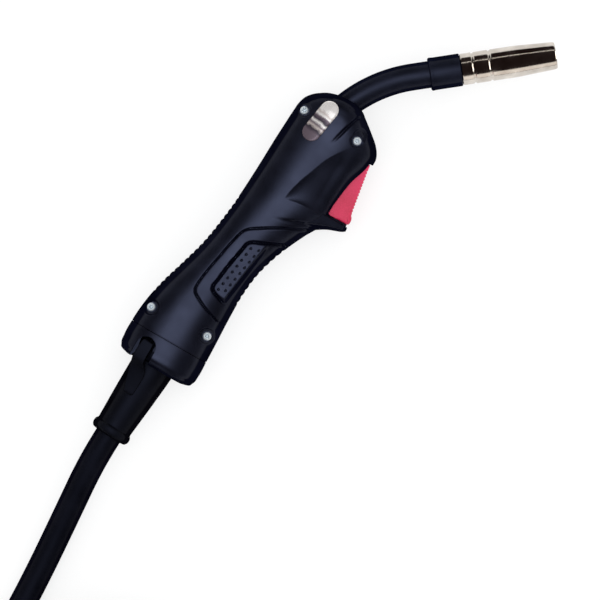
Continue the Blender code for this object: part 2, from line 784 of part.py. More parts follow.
def make_ball_and_boot():
    swivel = axis_empty("cable_swivel_axis", (0, 0, MID))
    axis = (-math.cos(BOOT_TILT), -math.sin(BOOT_TILT), 0)
    centre = (0, 0, MID)
    reach = math.radians(50.7)
    arc = [
        (BALL_RADIUS * math.cos(t), BALL_RADIUS * math.sin(t)) for t in np.linspace(-reach, reach, 9)
    ]
    ball = [(5.0, arc[0][1]), *arc, (9.9, arc[-1][1]), (9.9, 26.0), (5.0, 26.0)]
    turned("ball_joint", ball, "shell_plastic", centre, axis, 20, True, swivel)

    boot = [
        (10.2, 12.6),
        (12.3, 12.6),
        (12.35, 16.0),
        (11.5, 32.0),
        (10.5, 48.0),
        (10.3, 50.2),
        (11.2, 51.0),
        (11.4, 52.6),
        (11.0, 54.2),
        (9.6, BOOT_LENGTH),
        (CABLE_RADIUS + GAP, BOOT_LENGTH),
        (CABLE_RADIUS + GAP, 26.3),
        (10.2, 26.3),
    ]
    body = turned("bend_boot", boot, "rubber", centre, axis, 24, True, swivel)
    tongue = tongue_shape()
    combine(body, joined("boot_tongue", [tongue]), "UNION")


def tongue_shape():
    """The tongue that reaches into the collar's slot and runs back into a ridge on the boot."""
    side_view = [
        (0.4, 16.4),
        (0.4, 18.6),
        (-0.4, 19.3),
        (-12.0, 18.9),
        (-15.5, 17.4),
        (-30.0, 12.4),
        (-30.0, 10.9),
        (-13.2, 10.9),
        (-13.2, 16.4),
    ]
    lean = math.atan2(TONGUE_Y, 17.0)
    points = []
    for face in (-1, 1):
        for x, height in side_view:
            if x > -14.0:
                share = 0.62 if x > 0.0 else 0.9 if x > -1.0 else 1.0
            else:
                share = 0.55 if x < -29.0 else 0.85
            half = TONGUE_HALF * share
            base = TONGUE_Y if x > -16 else TONGUE_Y * height / 18.0
            y = base + face * half
            rise = height if x > -16 else height * math.cos(lean) + 1.2
            spot = (
                x * math.cos(BOOT_TILT) - y * math.sin(BOOT_TILT),
                x * math.sin(BOOT_TILT) + y * math.cos(BOOT_TILT),
                MID + rise,
            )
            points.append(spot)
    count = len(side_view)
    faces = [tuple(range(count)), tuple(range(count, 2 * count))] + ring_faces(0, count, count)
    return points, faces


def coil_profile():
    """The outline of the two-layer stack of turns, as (radius, height)."""
    low, high = COIL_COLUMNS[0] - CABLE_RADIUS - 0.2, COIL_COLUMNS[-1] + CABLE_RADIUS + 0.2
    return [
        (low, COIL_LIFT + 2.4),
        (low + 2.4, COIL_LIFT),
        (high - 2.4, COIL_LIFT),
        (high, COIL_LIFT + 2.4),
        (high, 15.0),
        (high - 8.0, 30.5),
        (high - 11.0, COIL_TOP),
        (low + 11.0, COIL_TOP),
        (low + 8.0, 30.5),
        (low, 15.0),
    ]


def grown(profile, distance):
    """A convex outline, each of its sides moved outwards by the distance."""
    centre = np.mean(profile, axis=0)
    lines = []
    for (r0, z0), (r1, z1) in zip(profile, profile[1:] + profile[:1]):
        normal = np.array([z1 - z0, r0 - r1]) / math.hypot(r1 - r0, z1 - z0)
        if normal @ (np.array([r0, z0]) - centre) < 0:
            normal = -normal
        lines.append((normal, normal @ np.array([r0, z0]) + distance))
    corners = []
    for (n0, d0), (n1, d1) in zip(lines[-1:] + lines[:-1], lines):
        corners.append(tuple(np.linalg.solve(np.array([n0, n1]), np.array([d0, d1]))))
    return corners


def make_cable():
    spacing = 4 * CABLE_RADIUS
    wire("cable_lead", smooth_curve(LEAD_ROUTE, spacing / 1.5), CABLE_RADIUS, "rubber", 4)
    turned("cable_coil", coil_profile(), "rubber", (*COIL_CENTRE, 0), (0, 0, 1), 36, True)
    tail = [(COIL_CENTRE[0] + x, COIL_CENTRE[1] + y, z) for x, y, z in TAIL_ROUTE]
    wire("cable_tail", smooth_curve(tail, spacing / 1.5), CABLE_RADIUS, "rubber", 4)


def make_ties():
    """Straps round the coil, which also carry it clear of the floor."""
    inner, outer = grown(coil_profile(), GAP), grown(coil_profile(), GAP + TIE_THICKNESS)
    count = len(inner)
    for number, angle in enumerate(TIE_ANGLES, 1):
        points = []
        for turn in np.radians(np.linspace(angle - TIE_HALF_ANGLE, angle + TIE_HALF_ANGLE, 4)):
            for radius, height in outer + inner:
                points.append((radius * math.cos(turn), radius * math.sin(turn), height))
        faces = []
        for i in range(3):
            a, b = i * 2 * count, (i + 1) * 2 * count
            faces += ring_faces(a, b, count)
            faces += ring_faces(a + count, b + count, count)
        for a in (0, 6 * count):
            faces += ring_faces(a, a + count, count)
        solid(f"coil_tie_{number}", points, faces, "strap", (*COIL_CENTRE, 0))


# ---------------------------------------------------------------- plug


def make_plug():
    """The machine-end plug: bend support, housing, brass contact, turning nut and sprung pins."""
    place = (PLUG_X, COIL_CENTRE[1], PLUG_Z)
    axis = (0, -1, 0)
    bore = CABLE_RADIUS + GAP
    support = [
        (8.5, BEND_SUPPORT_START),
        (9.8, BEND_SUPPORT_START),
        (10.4, 0.0),
        (12.6, 24.0),
        (13.6, HOUSING_START - GAP),
        (bore, HOUSING_START - GAP),
        (bore, 6.0),
    ]
    turned("plug_bend_support", support, "rubber", place, axis, 18, True)

    housing = [
        (8.4, HOUSING_START),
        (15.0, HOUSING_START),
        (16.2, HOUSING_START + 2),
        (16.6, 46.0),
        (19.0, 62.0),
        (20.4, 74.0),
        (20.4, 81.6),
        (19.4, HOUSING_END),
        (8.4, HOUSING_END),
    ]
    turned("plug_housing", housing, "shell_plastic", place, axis, 20, True)

    contact = [
        (1.2, 55.0),
        (8.0, 55.0),
        (8.0, 83.3),
        (9.2, 83.3),
        (9.2, 86.7),
        (14.4, 86.7),
        (14.4, FLANGE_END),
        (6.2, FLANGE_END),
        (5.0, FLANGE_END + 1.2),
        (5.0, PLUG_TIP - 1.5),
        (3.8, PLUG_TIP),
        (1.2, PLUG_TIP),
    ]
    body = turned("plug_contact", contact, "brass", place, axis, 20, True)
    for i, (across, up) in enumerate(PIN_OFFSETS, 1):
        seat = (PLUG_X + across, COIL_CENTRE[1], PLUG_Z + up)
        hole = tube_between(2.2, 0, 88.0, FLANGE_END + 2)
        socket = turned(f"pin_socket_{i}", hole, "brass", seat, axis, 12)
        combine(body, socket, "DIFFERENCE")
        pin = [(0, 91.5), (1.9, 91.5), (1.9, 105.6), (1.2, 107.0), (0, 107.0)]
        turned(f"signal_pin_{i}", pin, "brass", seat, axis, 12)

    spin = axis_empty("plug_nut_axis", place)
    nut = [
        (9.5, 83.4),
        (20.4, 83.4),
        (21.5, 84.8),
        (21.5, NUT_END - 1.4),
        (20.5, NUT_END),
        (14.9, NUT_END),
        (14.9, 86.4),
        (9.5, 86.4),
    ]
    turned("plug_nut", nut, "shell_plastic", place, axis, 28, True, spin)


def main():
    clear_scene()
    make_shell("handle_shell_lower", -1)
    upper = make_shell("handle_shell_upper", 1)
    make_badge(upper)
    make_screws()
    make_collar()
    make_trigger()
    make_switch()
    make_neck()
    make_front()
    make_ball_and_boot()
    make_cable()
    make_ties()
    make_plug()


main()
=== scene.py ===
"""Looks of a MIG welding torch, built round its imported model.

The torch lies on its side. The origin is on the resting face, straight below the ball joint at the
rear of the handle; +X runs along the handle to the nozzle, +Y is the back of the grip and -Y the
trigger side. Lengths are in millimetres until a mesh is made, and the frame is in metres.
"""

import math

import bmesh
import bpy
import numpy as np
from mathutils import Matrix, Vector

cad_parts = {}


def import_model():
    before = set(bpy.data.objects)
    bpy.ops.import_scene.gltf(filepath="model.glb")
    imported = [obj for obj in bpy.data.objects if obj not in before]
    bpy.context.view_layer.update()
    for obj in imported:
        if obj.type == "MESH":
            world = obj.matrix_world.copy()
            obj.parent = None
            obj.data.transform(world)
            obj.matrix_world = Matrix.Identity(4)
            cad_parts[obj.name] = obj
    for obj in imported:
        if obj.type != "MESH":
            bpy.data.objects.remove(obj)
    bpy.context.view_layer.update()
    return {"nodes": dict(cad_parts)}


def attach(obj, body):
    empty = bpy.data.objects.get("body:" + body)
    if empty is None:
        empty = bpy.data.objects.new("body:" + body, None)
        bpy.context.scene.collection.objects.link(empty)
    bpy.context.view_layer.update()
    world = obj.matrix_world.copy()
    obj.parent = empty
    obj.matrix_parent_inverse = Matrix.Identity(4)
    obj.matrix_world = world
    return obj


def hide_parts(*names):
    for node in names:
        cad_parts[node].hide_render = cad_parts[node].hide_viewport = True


MM = 0.001
GAP = 0.3
MID = 20.0  # height of the torch's plane of symmetry

# Handle: x, back edge, front edge and half thickness of each station along the grip
HANDLE = (
    (-11.5, 17.0, -18.0, 14.8),
    (-10.6, 20.4, -21.4, 18.0),
    (-8.2, 22.7, -23.6, 19.9),
    (-3.0, 23.8, -24.5, 20.6),
    (6.0, 24.0, -24.3, 20.6),
    (18.0, 23.1, -23.9, 20.4),
    (32.0, 20.5, -23.3, 19.5),
    (48.0, 15.8, -23.2, 18.3),
    (64.0, 11.3, -25.0, 17.4),
    (80.0, 8.6, -29.8, 17.2),
    (96.0, 6.8, -37.0, 17.8),
    (108.0, 6.1, -43.6, 18.7),
    (120.0, 5.6, -44.8, 19.7),
    (134.0, 5.2, -46.6, 20.5),
    (147.0, 4.6, -50.0, 20.6),
    (154.0, 4.2, -50.0, 20.6),
    (160.0, 3.6, -46.2, 20.4),
    (165.0, 1.6, -40.4, 19.7),
    (170.0, -3.6, -34.0, 17.8),
    (173.2, -9.6, -29.6, 14.6),
    (174.5, -14.0, -26.6, 12.0),
)
SQUARENESS = 2.4
REST_HALF = 20.0
WALL = 2.5
COLLAR_FRONT = 5.9
SEAM = 0.15

# Moulded details of the handle's sides, as (x, y) seen from above
OUTER_BAND = (
    (99.0, -37.0),
    (93.1, -24.4),
    (86.0, -12.2),
    (81.3, -6.2),
    (73.1, -3.5),
    (62.1, -1.4),
    (51.2, 0.6),
    (43.5, 1.5),
    (38.6, 1.0),
    (35.7, -3.0),
    (32.6, -9.9),
    (30.0, -18.0),
)
INNER_BAND = (
    (85.5, -30.0),
    (82.9, -23.7),
    (80.2, -18.2),
    (76.7, -11.7),
    (70.5, -10.1),
    (60.3, -8.2),
    (51.1, -7.0),
    (45.5, -6.3),
    (43.0, -8.0),
    (41.5, -11.8),
    (39.0, -17.7),
)
DIMPLE_ROWS = (((74.4, -14.3), (45.4, -10.0)), ((75.6, -18.8), (46.9, -13.8)))
DIMPLES = 8
SCOOP_CREST = (
    (108.3, -16.3),
    (114.1, -17.4),
    (121.8, -19.5),
    (128.5, -22.1),
    (138.6, -26.0),
    (146.9, -31.0),
    (154.0, -36.5),
)
SCOOP_REAR = ((-43.7, 111.7), (-39.3, 110.2), (-31.5, 110.1), (-24.0, 109.5), (-16.5, 107.8))
GUARD_CREASE = ((95.2, -17.3), (96.9, -22.2), (100.6, -31.8), (104.5, -42.6), (108.5, -53.6))
NECK_CREASE = ((168.5, -30.0), (165.3, -28.9), (160.2, -27.2), (153.5, -25.4), (147.0, -23.6))
BACK_RIBS = (24.0, 99.5, 3.6)
FRONT_RIBS = (40.0, 87.0, 4.2)
SCREWS = ((156.9, -1.4), (156.6, -35.7), (18.0, 17.9), (19.4, -17.5))
BADGE_ENDS = ((148.3, -11.0), (163.8, -13.6))
BADGE_RADIUS = 5.2

# Trigger
PIVOT = (145.0, -43.0)
TRIGGER_HALF = 8.6
SLOT_SIDE = 9.4

# Neck, from the handle round one bend, and the front parts along its straight end
NECK_Y = -14.5
BEND_X = 141.6
BEND_RADIUS = 80.0
BEND_ANGLE = math.radians(51.4)
SLEEVE_RADIUS = 7.65
NOZZLE_START = 28.0
NOZZLE_END = 82.0

# Cable
CABLE_RADIUS = 7.75
CABLE_PITCH = 15.6
BOOT_TILT = math.radians(-3.0)
BALL_HEIGHT = (0.0, 0.0, MID)
TONGUE_Y = 9.4
LEAD_ROUTE = (
    (-26.4, 1.38, 20.0),
    (-42.0, 2.2, 20.0),
    (-58.0, 3.04, 19.95),
    (-72.0, 3.3, 18.9),
    (-85.0, 2.9, 16.7),
    (-100.0, 1.8, 13.6),
    (-120.0, 0.3, 10.2),
    (-140.0, -1.1, 8.3),
    (-162.0, -2.2, 7.75),
    (-189.2, -2.8, 8.0),
)
COIL_CENTRE = (-248.0, -108.4)
COIL_LIFT = 1.6
COIL_COLUMNS = (105.6, 90.0, 74.4, 58.8)
COIL_TOP = 33.0
TIE_ANGLES = (30.0, 200.0, 285.0)
TIE_HALF_ANGLE = 5.5
TIE_THICKNESS = 1.3
PLUG_REACH = 142.0
PLUG_X = COIL_CENTRE[0] - PLUG_REACH
PLUG_Z = 21.5
TAIL_ROUTE = (
    (-32.0, 116.2, 20.8),
    (-57.0, 114.6, 17.6),
    (-82.0, 109.0, 13.0),
    (-105.0, 98.5, 9.4),
    (-124.0, 82.0, 8.0),
    (-136.5, 60.0, 10.6),
    (-141.2, 41.0, 16.6),
    (-PLUG_REACH, 26.0, 20.4),
    (-PLUG_REACH, 12.0, PLUG_Z),
    (-PLUG_REACH, -4.0, PLUG_Z),
    (-PLUG_REACH, -24.0, PLUG_Z),
    (-PLUG_REACH, -54.6, PLUG_Z),
)

# Camera: straight above, turned so that the handle runs up and to the right
CAMERA_PLACE = (63.2, -52.6, 3020.0)
CAMERA_TURN = math.radians(-60.0)
CAMERA_LENS = 318.4


# ---------------------------------------------------------------- materials


def node(tree, kind, inputs=None, **settings):
    """A shader node with its settings, each input a value or another node's output."""
    made = tree.nodes.new(kind)
    for key, value in settings.items():
        setattr(made, key, value)
    for key, value in (inputs or {}).items():
        if isinstance(value, bpy.types.NodeSocket):
            tree.links.new(value, made.inputs[key])
        else:
            made.inputs[key].default_value = value
    return made.outputs[0]


def start_material(name):
    made = bpy.data.materials.new(name)
    made.use_nodes = True
    tree = made.node_tree
    place = tree.nodes.new("ShaderNodeTexCoord").outputs["Object"]
    return made, tree, tree.nodes["Principled BSDF"], place


def ramp(tree, value, *stops):
    """A colour ramp over (position, colour) stops."""
    made = tree.nodes.new("ShaderNodeValToRGB")
    elements = made.color_ramp.elements
    while len(elements) < len(stops):
        elements.new(0.5)
    for element, (position, colour) in zip(elements, stops):
        element.position = position
        element.color = (*colour, 1.0)
    tree.links.new(value, made.inputs["Fac"])
    return made.outputs["Color"]


def ranged(tree, value, low, high):
    sizes = {"Value": value, "From Min": 0.3, "From Max": 0.7, "To Min": low, "To Max": high}
    return node(tree, "ShaderNodeMapRange", sizes)


def noise(tree, place, size, detail=3.0):
    """Smooth noise whose features are about this size, in millimetres."""
    return node(tree, "ShaderNodeTexNoise", {"Vector": place, "Scale": 1000.0 / size, "Detail": detail})


def relief(tree, shader, height, depth, strength=1.0):
    """Bump of a depth in millimetres."""
    sizes = {"Height": height, "Distance": depth * MM, "Strength": strength}
    tree.links.new(node(tree, "ShaderNodeBump", sizes), shader.inputs["Normal"])


def surface(name, dark, light, rough, grain, depth, patch=14.0, metallic=0.0):
    """Colour and gloss that drift in soft patches, over a fine moulded or cast grain."""
    made, tree, shader, place = start_material(name)
    patches = noise(tree, place, patch, 4.0)
    fine = noise(tree, place, grain)
    mixed = node(tree, "ShaderNodeMath", {0: patches, 1: 0.65}, operation="MULTIPLY")
    speckle = node(tree, "ShaderNodeMath", {0: fine, 1: 0.35, 2: mixed}, operation="MULTIPLY_ADD")
    tree.links.new(ramp(tree, speckle, (0.35, dark), (0.65, light)), shader.inputs["Base Color"])
    tree.links.new(ranged(tree, patches, *rough), shader.inputs["Roughness"])
    shader.inputs["Metallic"].default_value = metallic
    relief(tree, shader, fine, depth)
    return made


def matt(made, level, tint):
    """Tints a moulded surface's sheen and takes it away where the surface turns from the eye."""
    tree = made.node_tree
    shader = tree.nodes["Principled BSDF"]
    facing = tree.nodes.new("ShaderNodeLayerWeight")
    facing.inputs["Blend"].default_value = 0.5
    sizes = {"Value": facing.outputs["Facing"], "From Min": 0.04, "From Max": 0.37, "To Min": level, "To Max": 0.0}
    shader.inputs["Specular IOR Level"].default_value = level / 2
    tree.links.new(node(tree, "ShaderNodeMapRange", sizes), shader.inputs["Specular IOR Level"])
    shader.inputs["Specular Tint"].default_value = (*tint, 1.0)
    shader.inputs["IOR"].default_value = 1.7
    return made


def turned_metal(name, dark, light, rough, axis, pitch, depth):
    """Bright metal with fine marks round an axis, as a lathe or a polishing wheel leaves."""
    made, tree, shader, place = start_material(name)
    along = tree.nodes.new("ShaderNodeVectorMath")
    along.operation = "DOT_PRODUCT"
    tree.links.new(place, along.inputs[0])
    along.inputs[1].default_value = axis
    sizes = {"W": along.outputs["Value"], "Scale": 1000.0 / pitch, "Detail": 2.0}
    rings = node(tree, "ShaderNodeTexNoise", sizes, noise_dimensions="1D")
    patches = noise(tree, place, 9.0, 5.0)
    tree.links.new(ramp(tree, patches, (0.3, dark), (0.7, light)), shader.inputs["Base Color"])
    tree.links.new(ranged(tree, patches, *rough), shader.inputs["Roughness"])
    shader.inputs["Metallic"].default_value = 1.0
    relief(tree, shader, rings, depth)
    return made


def badge_painted_reflections():
    """A polished plate with painted reflections in its colour: a painted glint at the nozzle end and soft dark painted
    reflection bands towards the rear.
    """
    made, tree, shader, place = start_material("badge_plate_painted_reflections")
    (x0, y0), (x1, y1) = BADGE_ENDS
    length = math.hypot(x1 - x0, y1 - y0)
    axis = ((x1 - x0) / length, (y1 - y0) / length, 0.0)
    along = tree.nodes.new("ShaderNodeVectorMath")
    along.operation = "DOT_PRODUCT"
    tree.links.new(place, along.inputs[0])
    along.inputs[1].default_value = tuple(c / (length * MM) for c in axis)
    start = (x0 * axis[0] + y0 * axis[1]) / length
    wander = noise(tree, place, 5.0, 4.0)
    shift = node(tree, "ShaderNodeMath", {0: wander, 1: 0.30, 2: -start - 0.15}, operation="MULTIPLY_ADD")
    share = node(tree, "ShaderNodeMath", {0: along.outputs["Value"], 1: shift}, operation="ADD")
    # Painted reflection colours: a painted glint, warm and mauve reflected tones, and a painted dark reflection.
    painted_glint, warm, mauve, painted_dark_reflection = (1.0, 0.96, 0.93), (0.66, 0.58, 0.55), (0.17, 0.13, 0.16), (0.05, 0.04, 0.06)
    stops = (
        (0.0, mauve),
        (0.12, painted_dark_reflection),
        (0.20, warm),
        (0.30, mauve),
        (0.42, painted_glint),
        (0.50, painted_dark_reflection),
        (0.62, mauve),
        (0.70, painted_glint),
        (0.80, warm),
        (0.86, painted_glint),
    )
    tree.links.new(ramp(tree, share, *stops), shader.inputs["Base Color"])
    shader.inputs["Metallic"].default_value = 0.5
    tree.links.new(ranged(tree, wander, 0.22, 0.36), shader.inputs["Roughness"])
    relief(tree, shader, noise(tree, place, 0.6), 0.01)
    return made


def strap_finish():
    """Woven strap: two crossed sets of fine bands over a fibrous ground."""
    made, tree, shader, place = start_material("strap_finish")
    warp = node(tree, "ShaderNodeTexWave", {"Vector": place, "Scale": 260.0, "Distortion": 1.5}, bands_direction="X")
    weft = node(tree, "ShaderNodeTexWave", {"Vector": place, "Scale": 260.0, "Distortion": 1.5}, bands_direction="Y")
    weave = node(tree, "ShaderNodeMath", {0: warp, 1: weft}, operation="MULTIPLY")
    fibres = noise(tree, place, 0.5)
    height = node(tree, "ShaderNodeMath", {0: fibres, 1: 0.4, 2: weave}, operation="MULTIPLY_ADD")
    tree.links.new(ramp(tree, height, (0.1, (0.008, 0.008, 0.010)), (0.9, (0.035, 0.035, 0.040))), shader.inputs["Base Color"])
    tree.links.new(ranged(tree, fibres, 0.75, 0.95), shader.inputs["Roughness"])
    relief(tree, shader, height, 0.25)
    return made


def make_finishes():
    neck = (math.cos(BEND_ANGLE), -math.sin(BEND_ANGLE), 0.0)
    sheen = (0.56, 0.63, 1.0)
    plastics = {
        "shell": surface("shell_finish", (0.0012, 0.0014, 0.0045), (0.0040, 0.0045, 0.0110), (0.36, 0.46), 0.45, 0.012),
        "boot": surface("boot_finish", (0.0010, 0.0010, 0.0020), (0.0026, 0.0026, 0.0042), (0.50, 0.64), 0.7, 0.02),
        "neck": surface("neck_finish", (0.0014, 0.0018, 0.0060), (0.0045, 0.0055, 0.0140), (0.42, 0.52), 0.6, 0.015),
        "cable": surface("cable_finish", (0.0010, 0.0010, 0.0030), (0.0030, 0.0030, 0.0065), (0.52, 0.66), 0.9, 0.03),
    }
    for name, level in (("shell", 0.85), ("boot", 0.30), ("neck", 0.60), ("cable", 0.22)):
        matt(plastics[name], level, sheen)
    return plastics | {
        "trigger": surface("trigger_finish", (0.50, 0.008, 0.046), (0.74, 0.034, 0.120), (0.46, 0.60), 0.6, 0.02, 30.0),
        "nickel": turned_metal("nickel_finish", (0.50, 0.45, 0.40), (0.72, 0.67, 0.61), (0.10, 0.20), neck, 0.35, 0.002),
        "zinc": surface("zinc_finish", (0.74, 0.82, 0.88), (0.92, 0.97, 1.0), (0.36, 0.48), 0.3, 0.01, 2.0, 0.6),
        "brass": surface("brass_finish", (0.46, 0.30, 0.10), (0.74, 0.53, 0.24), (0.22, 0.42), 0.5, 0.01, 6.0, 1.0),
        "copper": turned_metal("copper_finish", (0.52, 0.22, 0.12), (0.80, 0.40, 0.24), (0.22, 0.40), neck, 0.3, 0.004),
        "steel": surface("steel_finish", (0.24, 0.24, 0.25), (0.46, 0.46, 0.48), (0.28, 0.44), 0.4, 0.01, 4.0, 1.0),
        "switch": surface("switch_finish", (0.06, 0.065, 0.08), (0.12, 0.13, 0.15), (0.44, 0.58), 0.5, 0.012),
        "wire": surface("wire_finish", (0.34, 0.012, 0.012), (0.52, 0.030, 0.030), (0.44, 0.56), 0.6, 0.01),
        "badge": badge_painted_reflections(),
        "strap": strap_finish(),
    }


# ---------------------------------------------------------------- mesh tools


def recalculated(mesh, angle):
    """Faces turned outwards and shaded smooth, apart from edges sharper than the angle."""
    shaped = bmesh.new()
    shaped.from_mesh(mesh)
    bmesh.ops.recalc_face_normals(shaped, faces=shaped.faces)
    shaped.to_mesh(mesh)
    shaped.free()
    mesh.shade_smooth()
    mesh.set_sharp_from_angle(angle=math.radians(angle))


def shape(name, points, faces, finish=None, angle=40):
    mesh = bpy.data.meshes.new(name)
    mesh.from_pydata((np.asarray(points, float) * MM).tolist(), [], [tuple(face) for face in faces])
    if finish is not None:
        mesh.materials.append(finish)
    recalculated(mesh, angle)
    made = bpy.data.objects.new(name, mesh)
    bpy.context.scene.collection.objects.link(made)
    return made


def settle(piece, *changes, angle=40):
    """Applies modifiers, each given as (type, settings), to the piece's mesh."""
    for kind, settings in changes:
        modifier = piece.modifiers.new(kind.lower(), kind)
        for key, value in settings.items():
            setattr(modifier, key, value)
    bpy.context.view_layer.update()
    graph = bpy.context.evaluated_depsgraph_get()
    made = bpy.data.meshes.new_from_object(piece.evaluated_get(graph))
    piece.modifiers.clear()
    old = piece.data
    piece.data = made
    bpy.data.meshes.remove(old)
    recalculated(made, angle)
    return piece


def carve(piece, cutter, operation="DIFFERENCE", angle=40):
    settle(piece, ("BOOLEAN", {"object": cutter, "operation": operation, "solver": "MANIFOLD"}), angle=angle)
    bpy.data.objects.remove(cutter)
    return piece


def rings(first, second, count):
    return [(first + i, first + (i + 1) % count, second + (i + 1) % count, second + i) for i in range(count)]


def tube_faces(rows, count, ends=True, start=0):
    """Faces joining rows of points, each a closed ring, with flat ends."""
    faces = []
    for i in range(rows - 1):
        faces += rings(start + i * count, start + (i + 1) * count, count)
    if ends:
        faces.append(tuple(range(start, start + count)))
        faces.append(tuple(range(start + (rows - 1) * count, start + rows * count)))
    return faces


def joined(*shapes):
    points, faces = [], []
    for some_points, some_faces in shapes:
        start = len(points)
        points += [tuple(p) for p in some_points]
        faces += [tuple(start + i for i in face) for face in some_faces]
    return points, faces


def rounded(profile, size, steps=4):
    """A closed outline with each corner rounded off, by at most 45% of its shorter side."""
    profile = [np.array(p, float) for p in profile]
    made = []
    for i, corner in enumerate(profile):
        before, after = profile[i - 1] - corner, profile[(i + 1) % len(profile)] - corner
        cut = min(size, 0.45 * np.linalg.norm(before), 0.45 * np.linalg.norm(after))
        a = corner + before / np.linalg.norm(before) * cut
        b = corner + after / np.linalg.norm(after) * cut
        for t in np.linspace(0, 1, steps + 1):
            made.append((1 - t) ** 2 * a + 2 * t * (1 - t) * corner + t * t * b)
    return made


def turned_shape(profile, place, axis, sides=64, flute=None):
    """A ring turned about an axis from a closed (radius, distance) outline. flute changes a radius."""
    axis = np.asarray(axis, float) / np.linalg.norm(axis)
    helper = np.array([0.0, 0.0, 1.0]) if abs(axis[2]) < 0.9 else np.array([1.0, 0.0, 0.0])
    first = np.cross(helper, axis)
    first /= np.linalg.norm(first)
    second = np.cross(axis, first)
    turns = 2 * np.pi * np.arange(sides) / sides
    around = np.outer(np.cos(turns), first) + np.outer(np.sin(turns), second)
    points = []
    for radius, distance in profile:
        radii = np.full(sides, float(radius))
        if flute is not None:
            radii = flute(radii, distance, turns)
        points.append(np.asarray(place, float) + axis * distance + around * radii[:, None])
    count = len(profile)
    faces = tube_faces(count, sides, False) + rings((count - 1) * sides, 0, sides)
    return np.concatenate(points), faces


def turned(name, profile, place, axis, finish, sides=64, round_by=0.3, flute=None, angle=40):
    outline = rounded(profile, round_by) if round_by else profile
    return shape(name, *turned_shape(outline, place, axis, sides, flute), finish, angle)


def rod_shape(radius, low, high, place, axis, sides=32):
    """A solid rod between two distances along an axis."""
    points, _ = turned_shape([(radius, low), (radius, high)], place, axis, sides)
    return points, tube_faces(2, sides)


def box_shape(low, high):
    (x0, y0, z0), (x1, y1, z1) = low, high
    points = [(x, y, z) for z in (z0, z1) for x, y in ((x0, y0), (x1, y0), (x1, y1), (x0, y1))]
    return points, tube_faces(2, 4)


def prism_shape(outline, low, high):
    points = [(x, y, low) for x, y in outline] + [(x, y, high) for x, y in outline]
    return points, tube_faces(2, len(outline))


def smooth_curve(route, spacing, closed=False):
    """Points about this far apart on a Catmull-Rom curve through the route's points."""
    route = np.asarray(route, float)
    if closed:
        ends = np.vstack([route[-1], route, route[0], route[1]])
    else:
        ends = np.vstack([2 * route[0] - route[1], route, 2 * route[-1] - route[-2]])
    fine = []
    for i in range(len(ends) - 3):
        a, b, c, d = ends[i : i + 4]
        for t in np.linspace(0, 1, 16, endpoint=False):
            square, cube = 2 * a - 5 * b + 4 * c - d, 3 * b - a - 3 * c + d
            fine.append((2 * b + (c - a) * t + square * t**2 + cube * t**3) / 2)
    fine.append(ends[-2])
    fine = np.array(fine)
    along = np.concatenate([[0], np.cumsum(np.linalg.norm(np.diff(fine, axis=0), axis=1))])
    at = np.linspace(0, along[-1], max(2, round(along[-1] / spacing) + 1))
    made = np.column_stack([np.interp(at, along, fine[:, k]) for k in range(fine.shape[1])])
    return made[:-1] if closed else made


def ease(t):
    t = np.clip(t, 0, 1)
    return t * t * (3 - 2 * t)


# ---------------------------------------------------------------- handle


def through(x, places, values):
    """A smooth curve through the values, by cubic pieces whose slopes come from their neighbours."""
    slopes = np.gradient(values, places)
    i = np.clip(np.searchsorted(places, x) - 1, 0, len(places) - 2)
    step = places[i + 1] - places[i]
    t = (x - places[i]) / step
    start = values[i] * (1 + 2 * t) + slopes[i] * step * t
    end = values[i + 1] * (3 - 2 * t) + slopes[i + 1] * step * (t - 1)
    return start * (1 - t) ** 2 + end * t * t


def station(x):
    """The middle, half width and half thickness of the handle at x."""
    rows = np.array(HANDLE)
    back, front, half = (through(np.asarray(x, float), rows[:, 0], rows[:, k]) for k in (1, 2, 3))
    return (back + front) / 2, (back - front) / 2, half


def surface_height(x, y):
    """How far the handle's outer surface stands from the plane of symmetry."""
    middle, width, half = station(x)
    across = np.minimum(np.abs(y - middle) / width, 0.999)
    return half * (1 - across**SQUARENESS) ** (1 / SQUARENESS)


def distance_to(line, x, y):
    best = np.full(x.shape, 1e9)
    for (x0, y0), (x1, y1) in zip(line, line[1:]):
        dx, dy = x1 - x0, y1 - y0
        t = np.clip(((x - x0) * dx + (y - y0) * dy) / (dx * dx + dy * dy), 0, 1)
        best = np.minimum(best, np.hypot(x - x0 - t * dx, y - y0 - t * dy))
    return best


def signed_distance(line, x, y):
    """Distance to a line, positive on the side enclosed with the handle's front edge."""
    corners = [*line, (line[-1][0], -90.0), (line[0][0], -90.0)]
    within = np.zeros(x.shape, bool)
    for (x0, y0), (x1, y1) in zip(corners, corners[1:] + corners[:1]):
        if y0 == y1:
            continue
        crosses = (y0 > y) != (y1 > y)
        within ^= crosses & (x < x0 + (y - y0) * (x1 - x0) / (y1 - y0))
    return np.where(within, 1, -1) * distance_to(line, x, y)


def scoop_depth(x, y):
    """The hollow above the trigger: a crisp crest, then a surface that falls away to the front."""
    crest = np.array(SCOOP_CREST)
    rear = np.array(SCOOP_REAR)
    crest_y = through(np.clip(x, crest[0, 0], crest[-1, 0]), crest[:, 0], crest[:, 1])
    rear_x = through(np.clip(y, rear[0, 0], rear[-1, 0]), rear[:, 0], rear[:, 1])
    below = np.maximum(0.93 * (crest_y - y), 0)
    ahead = np.maximum(x - rear_x, 0)
    depth = 2.2 * (1 - np.exp(-below / 3.6)) * (1 - np.exp(-ahead / 3.0))
    depth *= 1 - ease((x - 134) / 20)
    return depth * (1 - 0.75 * ease((-y - 33) / 9))


